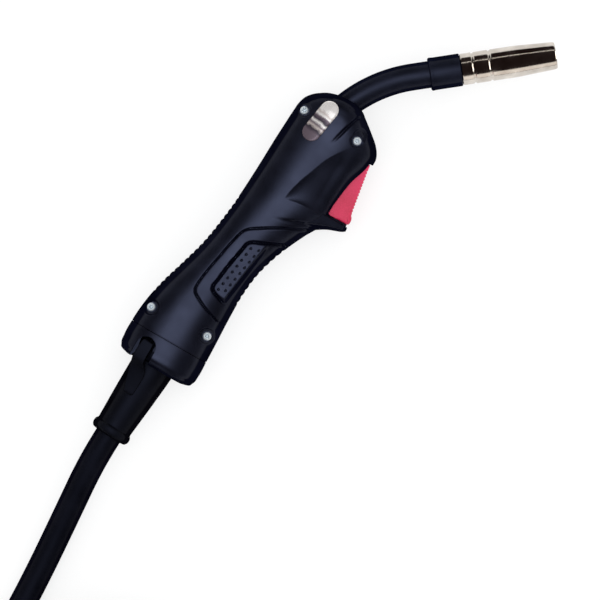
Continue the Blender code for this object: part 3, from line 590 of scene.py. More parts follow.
def grip_depth(x, y, rise):
    """The grip band on the handle's side: two grooves, a raised band and a dimpled pad."""
    fade = ease((rise - 0.22) / 0.25)
    outer = signed_distance(list(map(tuple, smooth_curve(OUTER_BAND, 2.0))), x, y)
    inner = signed_distance(list(map(tuple, smooth_curve(INNER_BAND, 2.0))), x, y)
    depth = 0.95 * np.maximum(1 - np.abs(outer + 0.4) / 0.75, 0)
    depth -= 0.4 * ease(outer / 0.8)
    end_x, end_y = INNER_BAND[0] if INNER_BAND[0][0] < INNER_BAND[-1][0] else INNER_BAND[-1]
    depth += 1.7 * np.maximum(1 - np.abs(inner) / 1.1, 0) * ease((np.hypot(x - end_x, y - end_y) - 0.6) / 4)
    for (x0, y0), (x1, y1) in DIMPLE_ROWS:
        for k in range(DIMPLES):
            share = k / (DIMPLES - 1)
            away = np.hypot(x - x0 - share * (x1 - x0), y - y0 - share * (y1 - y0))
            depth += 0.5 * (1 - ease((away - 0.1) / 0.75))
    return depth * fade


def pad_lift(x, y, height):
    """How far the dimpled pad is raised, so that it stays nearly flat out to its front edge."""
    inner = signed_distance(list(map(tuple, smooth_curve(INNER_BAND, 2.0))), x, y)
    line = np.array(INNER_BAND)
    back_y = np.interp(x, line[::-1, 0], line[::-1, 1])
    start = surface_height(x, back_y)
    flat = start - 0.05 * np.maximum(back_y - y, 0)
    front_y = -17.0 - 0.135 * (x - 41.0)
    hold = ease((inner - 0.2) / 0.8) * ease((y - front_y + 0.5) / 2.8)
    return np.clip(flat - height, 0, 2.4) * hold


def rib_depth(x, rise, low, high, pitch):
    notch = (1 - np.abs(np.sin(np.pi * (x - low) / pitch))) ** 1.3
    ends = ease((x - low) / 5) * (1 - ease((x - high + 5) / 5))
    return 0.55 * notch * ends * ease((0.66 - rise) / 0.3)


def screw_depth(x, y):
    """Dished surrounds of the four screws; the lower front one is drawn out towards the nose."""
    depth = np.zeros_like(x)
    for k, (x0, y0) in enumerate(SCREWS):
        away = np.hypot(x - x0, y - y0)
        if k == 1:
            away = np.minimum(away, np.hypot((x - x0 - 3.0) / 1.25, y - y0))
        reach = 4.9 if k > 1 else 4.2
        depth += (0.9 if k > 0 else 0.45) * (1 - ease((away - reach + 1.2) / 1.2))
    return depth


def outer_depth(x, y, rise, turn):
    """How far in from the plain outer form each point of the shell lies."""
    back = turn < np.pi / 2
    depth = scoop_depth(x, y) + grip_depth(x, y, rise) + screw_depth(x, y)
    depth += np.where(back, rib_depth(x, rise, *BACK_RIBS), rib_depth(x, rise, *FRONT_RIBS))
    guard = distance_to(list(map(tuple, smooth_curve(GUARD_CREASE, 2.0))), x, y)
    depth += 1.0 * np.exp(-((guard / 1.0) ** 2)) * ease((x - 95) / 6) * ease((rise - 0.1) / 0.4)
    neck = distance_to(list(map(tuple, smooth_curve(NECK_CREASE, 2.0))), x, y)
    depth += 1.2 * np.maximum(1 - neck / 1.2, 0) * ease((x - 147) / 12)
    depth += 0.3 * (1 - ease(rise / 0.05))
    return depth + 0.12 * (1 - ease((x - COLLAR_FRONT - GAP) / 0.7))


def even_turns(count):
    """Angles that space points evenly along the section's outline."""
    fine = np.linspace(0, np.pi, 4001)
    across = np.sign(np.cos(fine)) * np.abs(np.cos(fine)) ** (2 / SQUARENESS)
    rise = np.sin(fine) ** (2 / SQUARENESS)
    along = np.concatenate([[0], np.cumsum(np.hypot(np.diff(across) * 1.3, np.diff(rise)))])
    return np.interp(np.linspace(0, along[-1], count), along, fine)


def even_places(start, end, spacing):
    """Places along the handle, evenly spaced on its surface."""
    fine = np.linspace(start, end, 3000)
    middle, width, half = station(fine)
    steps = np.diff(fine) ** 2 + np.diff(middle + width) ** 2 + np.diff(middle - width) ** 2 + np.diff(half) ** 2
    along = np.concatenate([[0], np.cumsum(np.sqrt(steps))])
    return np.interp(np.linspace(0, along[-1], max(2, round(along[-1] / spacing))), along, fine)


def handle_grid(start, end, spacing, inset):
    """Points of one side of the handle as arrays x, y, height and turn, with the surface normals."""
    places = even_places(start, end, spacing)
    turns = even_turns(max(9, round(88 / spacing)))
    x = np.repeat(places[:, None], len(turns), 1)
    turn = np.repeat(turns[None, :], len(places), 0)
    middle, width, half = station(x)
    across = np.sign(np.cos(turn)) * np.abs(np.cos(turn)) ** (2 / SQUARENESS)
    rise = np.clip(np.sin(turn), 0, 1) ** (2 / SQUARENESS)
    y = middle + (width - inset) * across
    height = (half - inset) * rise
    point = np.stack([x, y, height], -1)
    normal = np.cross(np.gradient(point, axis=0), np.gradient(point, axis=1))
    normal /= np.maximum(np.linalg.norm(normal, axis=-1, keepdims=True), 1e-9)
    outwards = np.sign(np.sum(normal * np.stack([0 * x, across, rise], -1), -1, keepdims=True))
    normal *= np.where(outwards == 0, 1, outwards)
    return x, y, height, turn, rise, normal


def half_skin(start, end, spacing, side, seam, inset=0.0, detailed=True):
    """One side of the handle as a closed shape, moulded details included."""
    x, y, height, turn, rise, normal = handle_grid(start, end, spacing, inset)
    depth = outer_depth(x, y, rise, turn) if detailed else scoop_depth(x, y)
    if detailed:
        height = height + pad_lift(x, y, height)
    normal[:, (0, -1), 2] = 0
    x, y, height = x - normal[..., 0] * depth, y - normal[..., 1] * depth, height - normal[..., 2] * depth
    x[(0, -1), :] = np.array([[start], [end]])
    height = np.maximum(height, 0)
    height[:, (0, -1)] = seam
    height[:, 1:-1] = np.maximum(height[:, 1:-1], seam)
    if side < 0:
        height = np.minimum(height, REST_HALF - inset)
    points = np.stack([x, y, MID + side * height], -1).reshape(-1, 3)
    return points, tube_faces(x.shape[0], x.shape[1])


def neck_place(distance):
    """The point and direction of the neck's centre line, this far past the end of the bend."""
    along = np.array([math.cos(BEND_ANGLE), -math.sin(BEND_ANGLE), 0.0])
    end_x = BEND_X + BEND_RADIUS * math.sin(BEND_ANGLE)
    end_y = NECK_Y - BEND_RADIUS * (1 - math.cos(BEND_ANGLE))
    return np.array([end_x, end_y, MID]) + along * distance, along


def neck_line(start_x, end, steps):
    points = [np.array([x, NECK_Y, MID]) for x in np.linspace(start_x, BEND_X, 6)[:-1]]
    for turn in np.linspace(0, BEND_ANGLE, steps):
        x, y = BEND_X + BEND_RADIUS * math.sin(turn), NECK_Y - BEND_RADIUS * (1 - math.cos(turn))
        points.append(np.array([x, y, MID]))
    points += [neck_place(end * share)[0] for share in (0.5, 1.0)]
    return np.array(points)


def bent_rod_shape(line, radius, sides=48):
    points = []
    turns = 2 * np.pi * np.arange(sides) / sides
    for i, centre in enumerate(line):
        along = line[min(i + 1, len(line) - 1)] - line[max(i - 1, 0)]
        along /= np.linalg.norm(along)
        across = np.array([-along[1], along[0], 0.0])
        up = np.array([0.0, 0.0, 1.0])
        points.append(centre + radius * (np.outer(np.cos(turns), across) + np.outer(np.sin(turns), up)))
    return np.concatenate(points), tube_faces(len(line), sides)


def guard_fin_shape(side):
    """The fin behind the trigger: rounded at the rear, flat beside the trigger, thinner at its tip.

    The lower one is a little deeper and reaches under the trigger's end, which closes the gap.
    """
    front_x, drop = (111.9, 6.8) if side > 0 else (114.6, 3.0)
    rear = smooth_curve(((97.0, -33.0), (101.7, -40.2), (105.2, -46.0), (108.0, -53.2), (109.6, -55.6)), 0.5)
    share = np.linspace(0, 1, len(rear))
    front = np.column_stack([np.full(len(rear), front_x), np.interp(share, [0, 1], [-33.0, -55.0])])
    cuts = np.linspace(0, 1, 25)
    top, bottom = [], []
    for (rx, ry), (fx, fy), part in zip(rear, front, share):
        high = 14.8 - drop * part
        high *= (1 - max(0.0, (part - 0.88) / 0.12) ** 2.2 * 0.55)
        for cut in cuts:
            x, y = rx + (fx - rx) * cut, ry + (fy - ry) * cut
            lift = (1 - max(0.0, 1 - cut / 0.42) ** 2.3) ** (1 / 2.3)
            edge = 0.5 * ease((cut - 0.93) / 0.07)
            spot = np.array([[x]]), np.array([[y]])
            crease = distance_to(list(GUARD_CREASE), *spot)[0, 0]
            dip = 0.9 * math.exp(-((crease / 0.9) ** 2))
            top.append((x, y, max((high - dip) * lift - edge, SEAM + 0.3)))
            bottom.append((x, y, SEAM))
    wide, rows = len(cuts), len(rear)
    under = wide * rows
    faces = []
    for layer in (0, under):
        for i in range(rows - 1):
            a = layer + i * wide
            faces += [(a + k, a + k + 1, a + k + wide + 1, a + k + wide) for k in range(wide - 1)]
    rim = list(range(wide)) + [i * wide + wide - 1 for i in range(1, rows)]
    rim += [(rows - 1) * wide + k for k in range(wide - 2, -1, -1)] + [i * wide for i in range(rows - 2, 0, -1)]
    faces += [(a, b, under + b, under + a) for a, b in zip(rim, rim[1:] + rim[:1])]
    points = [(x, y, MID + side * height) for x, y, height in top + bottom]
    return points, faces


def badge_shape(grow, low, high, cuts=13, dome=0.0):
    """The badge's round-ended outline, its faces following the shell's plain outer form."""
    (x0, y0), (x1, y1) = BADGE_ENDS
    length = math.hypot(x1 - x0, y1 - y0)
    along = np.array([x1 - x0, y1 - y0]) / length
    across = np.array([-along[1], along[0]])
    radius = BADGE_RADIUS + grow
    ends = np.linspace(0.12, math.pi / 2, 12)
    rows = [(-radius * math.cos(t), radius * math.sin(t)) for t in ends]
    rows += [(length * k / 12, radius) for k in range(1, 12)]
    rows += [(length + radius * math.cos(t), radius * math.sin(t)) for t in ends[::-1]]
    points = []
    for offset in (high, low):
        for place, half in rows:
            for cut in np.linspace(-1, 1, cuts):
                x, y = np.array([x0, y0]) + along * place + across * half * cut
                edge = min((1 - abs(cut)) * half, half) / 1.2
                drop = dome * (1 - min(edge, 1.0)) ** 2 if offset == high else 0.0
                points.append((x, y, MID + float(surface_height(x, y)) + offset - drop))
    count = len(rows)
    under = count * cuts
    faces = []
    for layer in (0, under):
        for i in range(count - 1):
            a = layer + i * cuts
            faces += [(a + k, a + k + 1, a + k + cuts + 1, a + k + cuts) for k in range(cuts - 1)]
    rim = list(range(cuts)) + [i * cuts + cuts - 1 for i in range(1, count)]
    rim += [(count - 1) * cuts + k for k in range(cuts - 2, -1, -1)] + [i * cuts for i in range(count - 2, 0, -1)]
    faces += [(a, b, under + b, under + a) for a, b in zip(rim, rim[1:] + rim[:1])]
    return points, faces


def make_shell(name, side, finish):
    """One half of the handle, hollow, with its fin, trigger slot, neck channel and screw holes."""
    spacing = 0.43
    shell = shape(name, *half_skin(COLLAR_FRONT + GAP, HANDLE[-1][0], spacing, side, SEAM), finish)
    cavity = shape("cavity", *half_skin(3.0, 171.6, 3.0, side, -1.0, WALL, False))
    posts = [rod_shape(4.0, 0.2, 30, (x, y, MID), (0, 0, side)) for x, y in SCREWS]
    posts.append(rod_shape(3.4, SLOT_SIDE, 30, (*PIVOT, MID), (0, 0, side)))
    carve(cavity, shape("posts", *joined(*posts)))
    carve(shell, cavity)
    carve(shell, shape("fin", *guard_fin_shape(side)), "UNION")
    low, high = sorted((MID - side * 2, MID + side * SLOT_SIDE))
    cuts = [box_shape((111.9, -70, low), (149.6, -37.6, high))]
    channel = bent_rod_shape(neck_line(76.0, 12.0, 24), SLEEVE_RADIUS + GAP)
    if side > 0:
        for x, y in SCREWS:
            seat = float(surface_height(x, y)) - 3.2
            profile = [(1.7, -1.0), (1.7, seat), (3.0, seat), (3.0, 30.0)]
            points, _ = turned_shape(profile, (x, y, MID), (0, 0, 1), 40)
            cuts.append((points, tube_faces(4, 40)))
        cuts.append(badge_shape(0.3, -0.9, 3.0))
    carve(shell, shape("cuts", *joined(*cuts)))
    carve(shell, shape("channel", *channel), angle=50)
    shell.data.materials.clear()
    shell.data.materials.append(finish)
    return shell


def make_collar(finish):
    """The rear ring round the ball joint, with the slot for the bend support's tongue."""
    places = even_places(HANDLE[0][0], COLLAR_FRONT, 0.7)
    turns = even_turns(110)
    points = []
    for x in places:
        middle, width, half = station(x)
        ease_in = 0.12 * (1 - ease((COLLAR_FRONT - x) / 0.7))
        across = np.sign(np.cos(turns)) * np.abs(np.cos(turns)) ** (2 / SQUARENESS)
        rise = np.clip(np.sin(turns), 0, 1) ** (2 / SQUARENESS)
        y, height = middle + (width - ease_in) * across, (half - ease_in) * rise
        over = np.column_stack([np.full(len(y), x), y, MID + height])
        under = np.column_stack([np.full(len(y), x), y, MID - np.minimum(height, REST_HALF)])
        points.append(np.concatenate([over[:-1], under[::-1][:-1]]))
    count = len(points[0])
    collar = shape("collar_ring", np.concatenate(points), tube_faces(len(places), count), finish)
    seat = 15.8
    arc = [(seat * math.cos(t), seat * math.sin(t)) for t in np.radians(np.linspace(27, -23, 16))]
    profile = [(arc[0][0], 8.0), *arc, (16.6, HANDLE[0][0] - 1)]
    socket, _ = turned_shape(profile, (0, 0, MID), (1, 0, 0), 96)
    carve(collar, shape("socket", socket, tube_faces(len(profile), 96)))
    bow = [(-3.0 + 6.0 * math.sin(t), TONGUE_Y + 6.0 * math.cos(t)) for t in np.linspace(0, math.pi, 33)]
    outline = [(-13.0, TONGUE_Y - 6.0), (-13.0, TONGUE_Y + 6.0), *bow]
    return carve(collar, shape("slot", *prism_shape(outline, MID + 7.0, MID + 24.0)))


def make_screw(name, place, finish):
    """A pan head with a six-lobed recess, on its shank."""
    x, y = place
    seat = MID + float(surface_height(x, y)) - 3.0
    profile = [(0.02, seat - 9), (1.4, seat - 9), (1.4, seat), (2.35, seat), (2.35, seat + 1.2)]
    profile += [(2.25, seat + 1.5), (2.0, seat + 1.7), (1.5, seat + 1.82), (0.02, seat + 1.9)]
    points, _ = turned_shape(profile, (x, y, 0), (0, 0, 1), 48)
    screw = shape(name, points, tube_faces(len(profile), 48), finish)
    points = []
    for height, size in ((seat - 0.6, 0.7), (seat + 2.3, 1.5)):
        for t in np.linspace(0, 2 * np.pi, 60, endpoint=False):
            reach = size * (0.9 + 0.16 * math.cos(6 * t))
            points.append((x + reach * math.cos(t), y + reach * math.sin(t), height))
    return carve(screw, shape("recess", points, tube_faces(2, 60)))


# ---------------------------------------------------------------- trigger


def trigger_outline():
    """The lever seen from the side, from the pivot back along the finger face, and its outward normals."""
    face = smooth_curve(((148.7, -48.9), (133.0, -51.5), (118.8, -53.9)), 0.25)
    lip = smooth_curve(((118.8, -53.9), (117.4, -54.9), (115.6, -55.3), (114.0, -55.1), (113.3, -54.0)), 0.3)
    boss = [(PIVOT[0] + 3.9 * math.cos(t), PIVOT[1] + 3.9 * math.sin(t)) for t in np.radians(np.linspace(140, 0, 24))]
    back = [(112.9, -43.4), (113.5, -41.7), (128.5, -41.5), (128.5, -39.9), (131.5, -39.9), (131.5, -41.5)]
    back.append((139.5, -41.5))
    straight = smooth_lines([tuple(lip[-1]), *back, boss[0]], 0.8)
    end = smooth_lines([boss[-1], tuple(face[0])], 0.8)
    outline = np.array([*map(tuple, face), *map(tuple, lip[1:]), *straight[1:], *boss[1:], *end[1:-1]])
    step = np.roll(outline, -1, 0) - np.roll(outline, 1, 0)
    normal = np.column_stack([-step[:, 1], step[:, 0]]) / np.linalg.norm(step, axis=1)[:, None]
    along = np.zeros(len(outline))
    along[: len(face)] = np.linspace(0, 30.3, len(face))
    notch = (1 - np.abs(np.sin(np.pi * along / 1.9))) * ease((along - 1.5) / 2) * ease((29.5 - along) / 2)
    return outline, normal, 0.6 * notch


def smooth_lines(corners, spacing):
    """Points at most this far apart along straight lines between the corners."""
    made = [corners[0]]
    for (x0, y0), (x1, y1) in zip(corners, corners[1:]):
        cuts = max(1, math.ceil(math.hypot(x1 - x0, y1 - y0) / spacing))
        made += [(x0 + (x1 - x0) * k / cuts, y0 + (y1 - y0) * k / cuts) for k in range(1, cuts + 1)]
    return made


def make_trigger(finish):
    """The lever, rounded along the finger face, with its pin bore and the room for its spring."""
    outline, normal, notch = trigger_outline()
    finger = ease((-outline[:, 1] - 46.5) / 2.5)
    radius = 0.4 + 1.3 * finger
    rows = [(TRIGGER_HALF * share - radius * share, 0 * radius) for share in (0.0, 0.33, 0.66)]
    for t in np.linspace(0, math.pi / 2, 9):
        rows.append((TRIGGER_HALF - radius * (1 - math.sin(t)), radius * (1 - math.cos(t))))
    rows = [(-high, inset) for high, inset in rows[:0:-1]] + rows
    points = []
    for high, inset in rows:
        fade = np.clip(1 - inset / 1.2, 0, 1)
        spot = outline - normal * (inset + notch * fade)[:, None]
        points.append(np.column_stack([spot, MID + high]))
    lever = shape("trigger_finger", np.concatenate(points), tube_faces(len(rows), len(outline)), finish, 50)
    bore = rod_shape(1.8, -12, 12, (*PIVOT, MID), (0, 0, 1))
    carve(lever, shape("bore", *bore), angle=50)
    room = box_shape((140.6, -46.4, MID - 3.6), (152.0, -36.0, MID + 3.6))
    return carve(lever, shape("room", *room), angle=50)


# ---------------------------------------------------------------- neck, nozzle


def make_sleeve(finish):
    line = neck_line(104.0, 23.7, 70)
    sleeve = shape("neck_cover", *bent_rod_shape(line, SLEEVE_RADIUS, 64), finish)
    return carve(sleeve, shape("bore", *bent_rod_shape(neck_line(100.0, 30.0, 30), 5.1, 32)))


def make_insulator(finish):
    end, along = neck_place(0)
    profile = [(7.95, 9.7), (8.9, 9.7), (9.5, 10.5), (9.3, 12.3), (9.3, 27.7), (5.8, 27.7), (5.8, 46.0)]
    profile += [(4.9, 46.0), (4.9, 24.0), (7.95, 24.0)]
    return turned("insulator_ring", profile, end, along, finish, 96, 0.5)


def make_nozzle(finish):
    """The tapered gas nozzle, with two ring grooves behind its middle."""
    end, along = neck_place(0)
    outer = [(8.2, NOZZLE_START), (8.75, NOZZLE_START), (9.0, NOZZLE_START + 0.5)]
    for groove in (NOZZLE_START + 7.0, NOZZLE_START + 16.5):
        outer += [(9.0, groove - 0.9), (8.45, groove - 0.35), (8.45, groove + 0.35), (9.0, groove + 0.9)]
    outer += [(9.0, 58.0), (8.95, 60.5), (8.75, 63.5), (7.85, NOZZLE_END - 1.4), (7.6, NOZZLE_END - 0.4), (7.3, NOZZLE_END)]
    inner = [(6.9, NOZZLE_END), (6.85, NOZZLE_END - 0.6), (8.2, 62.0)]
    return turned("gas_cup", outer + inner, end, along, finish, 128, 0.3, angle=30)


# ---------------------------------------------------------------- cable


def bottom_radius(turn):
    """Radius of the bottom layer at an angle from 90 degrees on, in degrees, winding inwards."""
    lap = min(int((turn - 90) // 360), 3)
    share = (turn - 90) / 360 - lap
    inward = CABLE_PITCH * float(ease((share - 0.8) / 0.2)) if lap < 3 else 0.0
    return COIL_COLUMNS[lap] - inward


def coil_route():
    """Four turns on the floor from the outside in, then one over them and out again."""
    climb_start, climb_end, last = 1408.0, 1480.0, 1890.0
    floor = COIL_LIFT + CABLE_RADIUS
    top = COIL_COLUMNS[3] + CABLE_PITCH / 2
    leaving = COIL_COLUMNS[0] + CABLE_PITCH / 2
    turns = np.arange(90.0, last + 0.1, 4.0)
    radii, needed = [], []
    for turn in turns:
        if turn < climb_start:
            radii.append(bottom_radius(turn))
            needed.append(floor)
            continue
        radius = COIL_COLUMNS[3] + (top - COIL_COLUMNS[3]) * float(ease((turn - climb_start) / (climb_end - climb_start)))
        radius += (leaving - top) * float(ease((turn - 1540) / (last - 1540)))
        below = [bottom_radius(lap) for lap in np.arange(90 + (turn - 90) % 360, climb_start, 360.0)]
        angle = (turn - 90) % 360
        if angle > 300 or angle == 0:
            below.append(COIL_COLUMNS[0] / math.cos(math.radians(min(360 - angle, 60) if angle else 0)))
        apart = [abs(radius - other) for other in below if abs(radius - other) < CABLE_PITCH]
        radii.append(radius)
        needed.append(floor + max([math.sqrt(CABLE_PITCH**2 - gap**2) for gap in apart], default=0.0))
    needed = np.array(needed)
    window = 5
    held = np.array([needed[max(0, i - window) : i + window + 1].max() for i in range(len(needed))])
    bell = np.exp(-(np.linspace(-2, 2, 2 * window + 1) ** 2))
    padded = np.pad(held, window, mode="edge")
    heights = np.convolve(padded, bell / bell.sum(), mode="valid")
    angles = np.radians(turns)
    return [
        (COIL_CENTRE[0] + r * math.cos(a), COIL_CENTRE[1] + r * math.sin(a), z)
        for r, a, z in zip(radii, angles, heights)
    ]


def cable_route():
    tail = [(COIL_CENTRE[0] + x, COIL_CENTRE[1] + y, z) for x, y, z in TAIL_ROUTE]
    return smooth_curve([*LEAD_ROUTE, *coil_route(), *tail], 4.0)


def make_cable(finish):
    route = cable_route()
    curve = bpy.data.curves.new("torch_cable", "CURVE")
    curve.dimensions = "3D"
    curve.bevel_depth = CABLE_RADIUS * MM
    curve.bevel_resolution = 8
    curve.use_fill_caps = True
    core = [(-22.6, 1.18, MID), (-26.0, 1.36, MID), (-26.2, 1.37, MID)]
    route = np.concatenate([core, route])
    line = curve.splines.new("POLY")
    line.points.add(len(route) - 1)
    for number, (knot, point) in enumerate(zip(line.points, route)):
        knot.co = (*(point * MM), 1.0)
        knot.radius = 0.6 if number < 2 else 1.0
    line.use_smooth = True
    curve.materials.append(finish)
    cable = bpy.data.objects.new("torch_cable", curve)
    bpy.context.scene.collection.objects.link(cable)
    return cable


def ridge_shape():
    """The tongue that keys into the collar's slot, and the ridge it runs out into along the boot."""
    stations = (
        (0.5, 7.1, 11.7, 16.4, 18.5),
        (-0.3, 6.2, 12.6, 16.4, 19.2),
        (-3.0, 5.8, 13.0, 15.5, 19.3),
        (-9.0, 5.6, 13.0, 12.5, 19.0),
        (-12.2, 5.0, 12.6, 10.0, 18.2),
        (-15.5, 2.0, 11.6, 8.0, 16.3),
        (-20.0, 0.9, 10.2, 8.0, 14.8),
        (-26.0, 0.7, 8.4, 8.0, 13.3),
        (-30.2, 0.8, 6.9, 8.0, 12.5),
        (-31.2, 1.6, 6.0, 8.0, 11.9),
    )
    fine = smooth_curve(stations, 0.6)
    cosine, sine = math.cos(BOOT_TILT), math.sin(BOOT_TILT)
    points = []
    for x, front, back, low, high in fine:
        round_off = min(0.8, (back - front) / 3, (high - low) / 3)
        corners = [(front, low), (front, high), (back, high - 0.5), (back, low)]
        for y, height in rounded(corners, round_off, 5):
            points.append((x * cosine - y * sine, x * sine + y * cosine, MID + height))
    return points, tube_faces(len(fine), 24)


def make_boot(finish):
    """The tapered bend support, its flared end, and the tongue that keys into the collar."""
    axis = (-math.cos(BOOT_TILT), -math.sin(BOOT_TILT), 0)
    seat = 15.7
    cup = [(seat * math.sin(t), seat * math.cos(t)) for t in np.radians(np.linspace(41, 51, 5))]
    profile = [*cup, (12.45, 10.8), (12.35, 16.0), (11.6, 32.0), (10.7, 47.0), (10.45, 51.2)]
    profile += [(11.4, 52.2), (11.75, 53.8), (11.5, 55.6), (10.4, 57.0), (9.0, 57.3), (8.05, 57.3), (8.05, 26.3), (10.2, 26.3)]
    boot = turned("boot_sleeve", profile, BALL_HEIGHT, axis, finish, 96, 0.8)
    carve(boot, shape("ridge", *ridge_shape()), "UNION")
    boot.data.materials.clear()
    boot.data.materials.append(finish)
    return boot


def coil_profile():
    """The outline of the stack of turns, as (radius, height)."""
    low, high = COIL_COLUMNS[3] - CABLE_RADIUS - 0.2, COIL_COLUMNS[0] + CABLE_RADIUS + 0.2
    outline = [(low, COIL_LIFT + 2.4), (low + 2.4, COIL_LIFT), (high - 2.4, COIL_LIFT), (high, COIL_LIFT + 2.4)]
    outline += [(high, 15.0), (high - 8.0, 30.5), (high - 11.0, COIL_TOP), (low + 11.0, COIL_TOP)]
    return outline + [(low + 8.0, 30.5), (low, 15.0)]


def grown(profile, distance):
    """A convex outline, each of its sides moved outwards by the distance."""
    centre = np.mean(profile, axis=0)
    lines = []
    for (r0, z0), (r1, z1) in zip(profile, profile[1:] + profile[:1]):
        normal = np.array([z1 - z0, r0 - r1]) / math.hypot(r1 - r0, z1 - z0)
        if normal @ (np.array([r0, z0]) - centre) < 0:
            normal = -normal
        lines.append((normal, normal @ np.array([r0, z0]) + distance))
    corners = []
    for (n0, d0), (n1, d1) in zip(lines[-1:] + lines[:-1], lines):
        corners.append(tuple(np.linalg.solve(np.array([n0, n1]), np.array([d0, d1]))))
    return corners


def make_tie(number, angle, finish):
    """A strap round the coil, its edges rounded and thinned towards its two sides."""
    inner = np.array(rounded(grown(coil_profile(), GAP), 2.0))
    outer = np.array(rounded(grown(coil_profile(), GAP + TIE_THICKNESS), 2.6))
    points = []
    spread = np.linspace(-1, 1, 13)
    for share in spread:
        turn = math.radians(angle + TIE_HALF_ANGLE * share)
        thin = 0.45 * max(0.0, (abs(share) - 0.8) / 0.2) ** 2
        band = outer + (inner - outer) * thin
        band[:, 1] = np.maximum(band[:, 1], 0.0)
        for radius, height in [*band, *inner]:
            points.append((COIL_CENTRE[0] + radius * math.cos(turn), COIL_CENTRE[1] + radius * math.sin(turn), height))
    count = len(inner)
    faces = []
    for i in range(len(spread) - 1):
        a, b = i * 2 * count, (i + 1) * 2 * count
        faces += rings(a, b, count) + rings(a + count, b + count, count)
    for a in (0, (len(spread) - 1) * 2 * count):
        faces += rings(a, a + count, count)
    return shape(f"coil_strap_{number}", points, faces, finish)


# ---------------------------------------------------------------- plug


def grip_flutes(low, high, count, depth):
    """A change of radius that cuts lengthwise flutes between two distances."""

    def flute(radii, distance, turns):
        reach = float(ease((distance - low) / 1.5) * ease((high - distance) / 1.5))
        notch = (1 - np.abs(np.sin(count * turns / 2))) ** 1.5
        return radii - depth * reach * notch * (radii > 13.0)

    return flute


def make_plug(finishes):
    place = (PLUG_X, COIL_CENTRE[1], PLUG_Z)
    axis = (0, -1, 0)
    bore = CABLE_RADIUS + GAP
    support = [(8.5, -8.0), (9.8, -8.0), (10.4, 0.0)]
    for slot in (4.0, 9.0, 14.0, 19.0, 24.0):
        radius = 10.4 + (slot + 0.5) * 0.1
        support += [(radius, slot - 0.9), (radius - 1.0, slot - 0.4), (radius - 1.0, slot + 0.4), (radius + 0.1, slot + 0.9)]
    support += [(13.4, 29.4), (13.6, 31.0), (bore, 31.0), (bore, 6.0)]
    housing = [(8.4, 31.3), (15.0, 31.3), (16.2, 33.3), (16.6, 46.0), (17.6, 54.0), (19.0, 62.0)]
    housing += [(19.9, 68.0), (20.4, 74.0), (20.4, 81.6), (19.4, 83.0), (8.4, 83.0)]
    nut = [(9.5, 83.4), (20.4, 83.4), (21.5, 84.8), (21.5, 88.0), (21.5, 97.0), (21.5, 106.5), (21.5, 109.6)]
    nut += [(20.5, 111.0), (14.9, 111.0), (14.9, 86.4), (9.5, 86.4)]
    contact = [(1.2, 55.0), (8.0, 55.0), (8.0, 83.3), (9.2, 83.3), (9.2, 86.7), (14.4, 86.7), (14.4, 95.0)]
    contact += [(6.2, 95.0), (5.0, 96.2), (5.0, 113.5), (3.8, 115.0), (1.2, 115.0)]
    body = turned("plug_core", contact, place, axis, finishes["brass"], 96, 0.4)
    holes = [rod_shape(2.2, 88.0, 98.0, (PLUG_X + dx, COIL_CENTRE[1], PLUG_Z + 8.56), axis) for dx in (-4.55, 4.55)]
    carve(body, shape("pin_holes", *joined(*holes)))
    return {
        "plug_bend_support": turned("plug_sleeve", support, place, axis, finishes["boot"], 80, 0.5),
        "plug_housing": turned(
            "plug_shell", housing_steps(housing), place, axis, finishes["shell"], 140, 0.5, grip_flutes(47.0, 80.0, 14, 1.3)
        ),
        "plug_contact": body,
        "plug_nut": turned(
            "plug_ring", housing_steps(nut), place, axis, finishes["shell"], 240, 0.5, grip_flutes(86.5, 108.5, 30, 1.1)
        ),
    }


def housing_steps(profile, spacing=1.0):
    """The outline with points added along its long sides, so that flutes can fade along them."""
    return smooth_lines([*profile, profile[0]], spacing)[:-1]


# ---------------------------------------------------------------- scene


def make_floor():
    """A lit white table, so that shadows stay faint."""
    made, tree, shader, place = start_material("floor_finish")
    drift = noise(tree, place, 400.0)
    tree.links.new(ramp(tree, drift, (0.3, (0.30, 0.30, 0.30)), (0.7, (0.32, 0.32, 0.32))), shader.inputs["Base Color"])
    shader.inputs["Roughness"].default_value = 0.9
    shader.inputs["Specular IOR Level"].default_value = 0.1
    shader.inputs["Emission Color"].default_value = (1.0, 1.0, 1.0, 1.0)
    shader.inputs["Emission Strength"].default_value = 0.72
    floor = shape("floor", [(-4000, -4000, 0), (4000, -4000, 0), (4000, 4000, 0), (-4000, 4000, 0)], [(0, 1, 2, 3)], made)


def area_light(name, place, aim, size, power, colour):
    lamp = bpy.data.lights.new(name, "AREA")
    lamp.shape = "RECTANGLE"
    lamp.size, lamp.size_y = size
    lamp.energy = power
    lamp.color = colour
    made = bpy.data.objects.new(name, lamp)
    made.location = place
    made.rotation_euler = (Vector(aim) - Vector(place)).to_track_quat("-Z", "Y").to_euler()
    made.visible_camera = False
    bpy.context.scene.collection.objects.link(made)
    return made


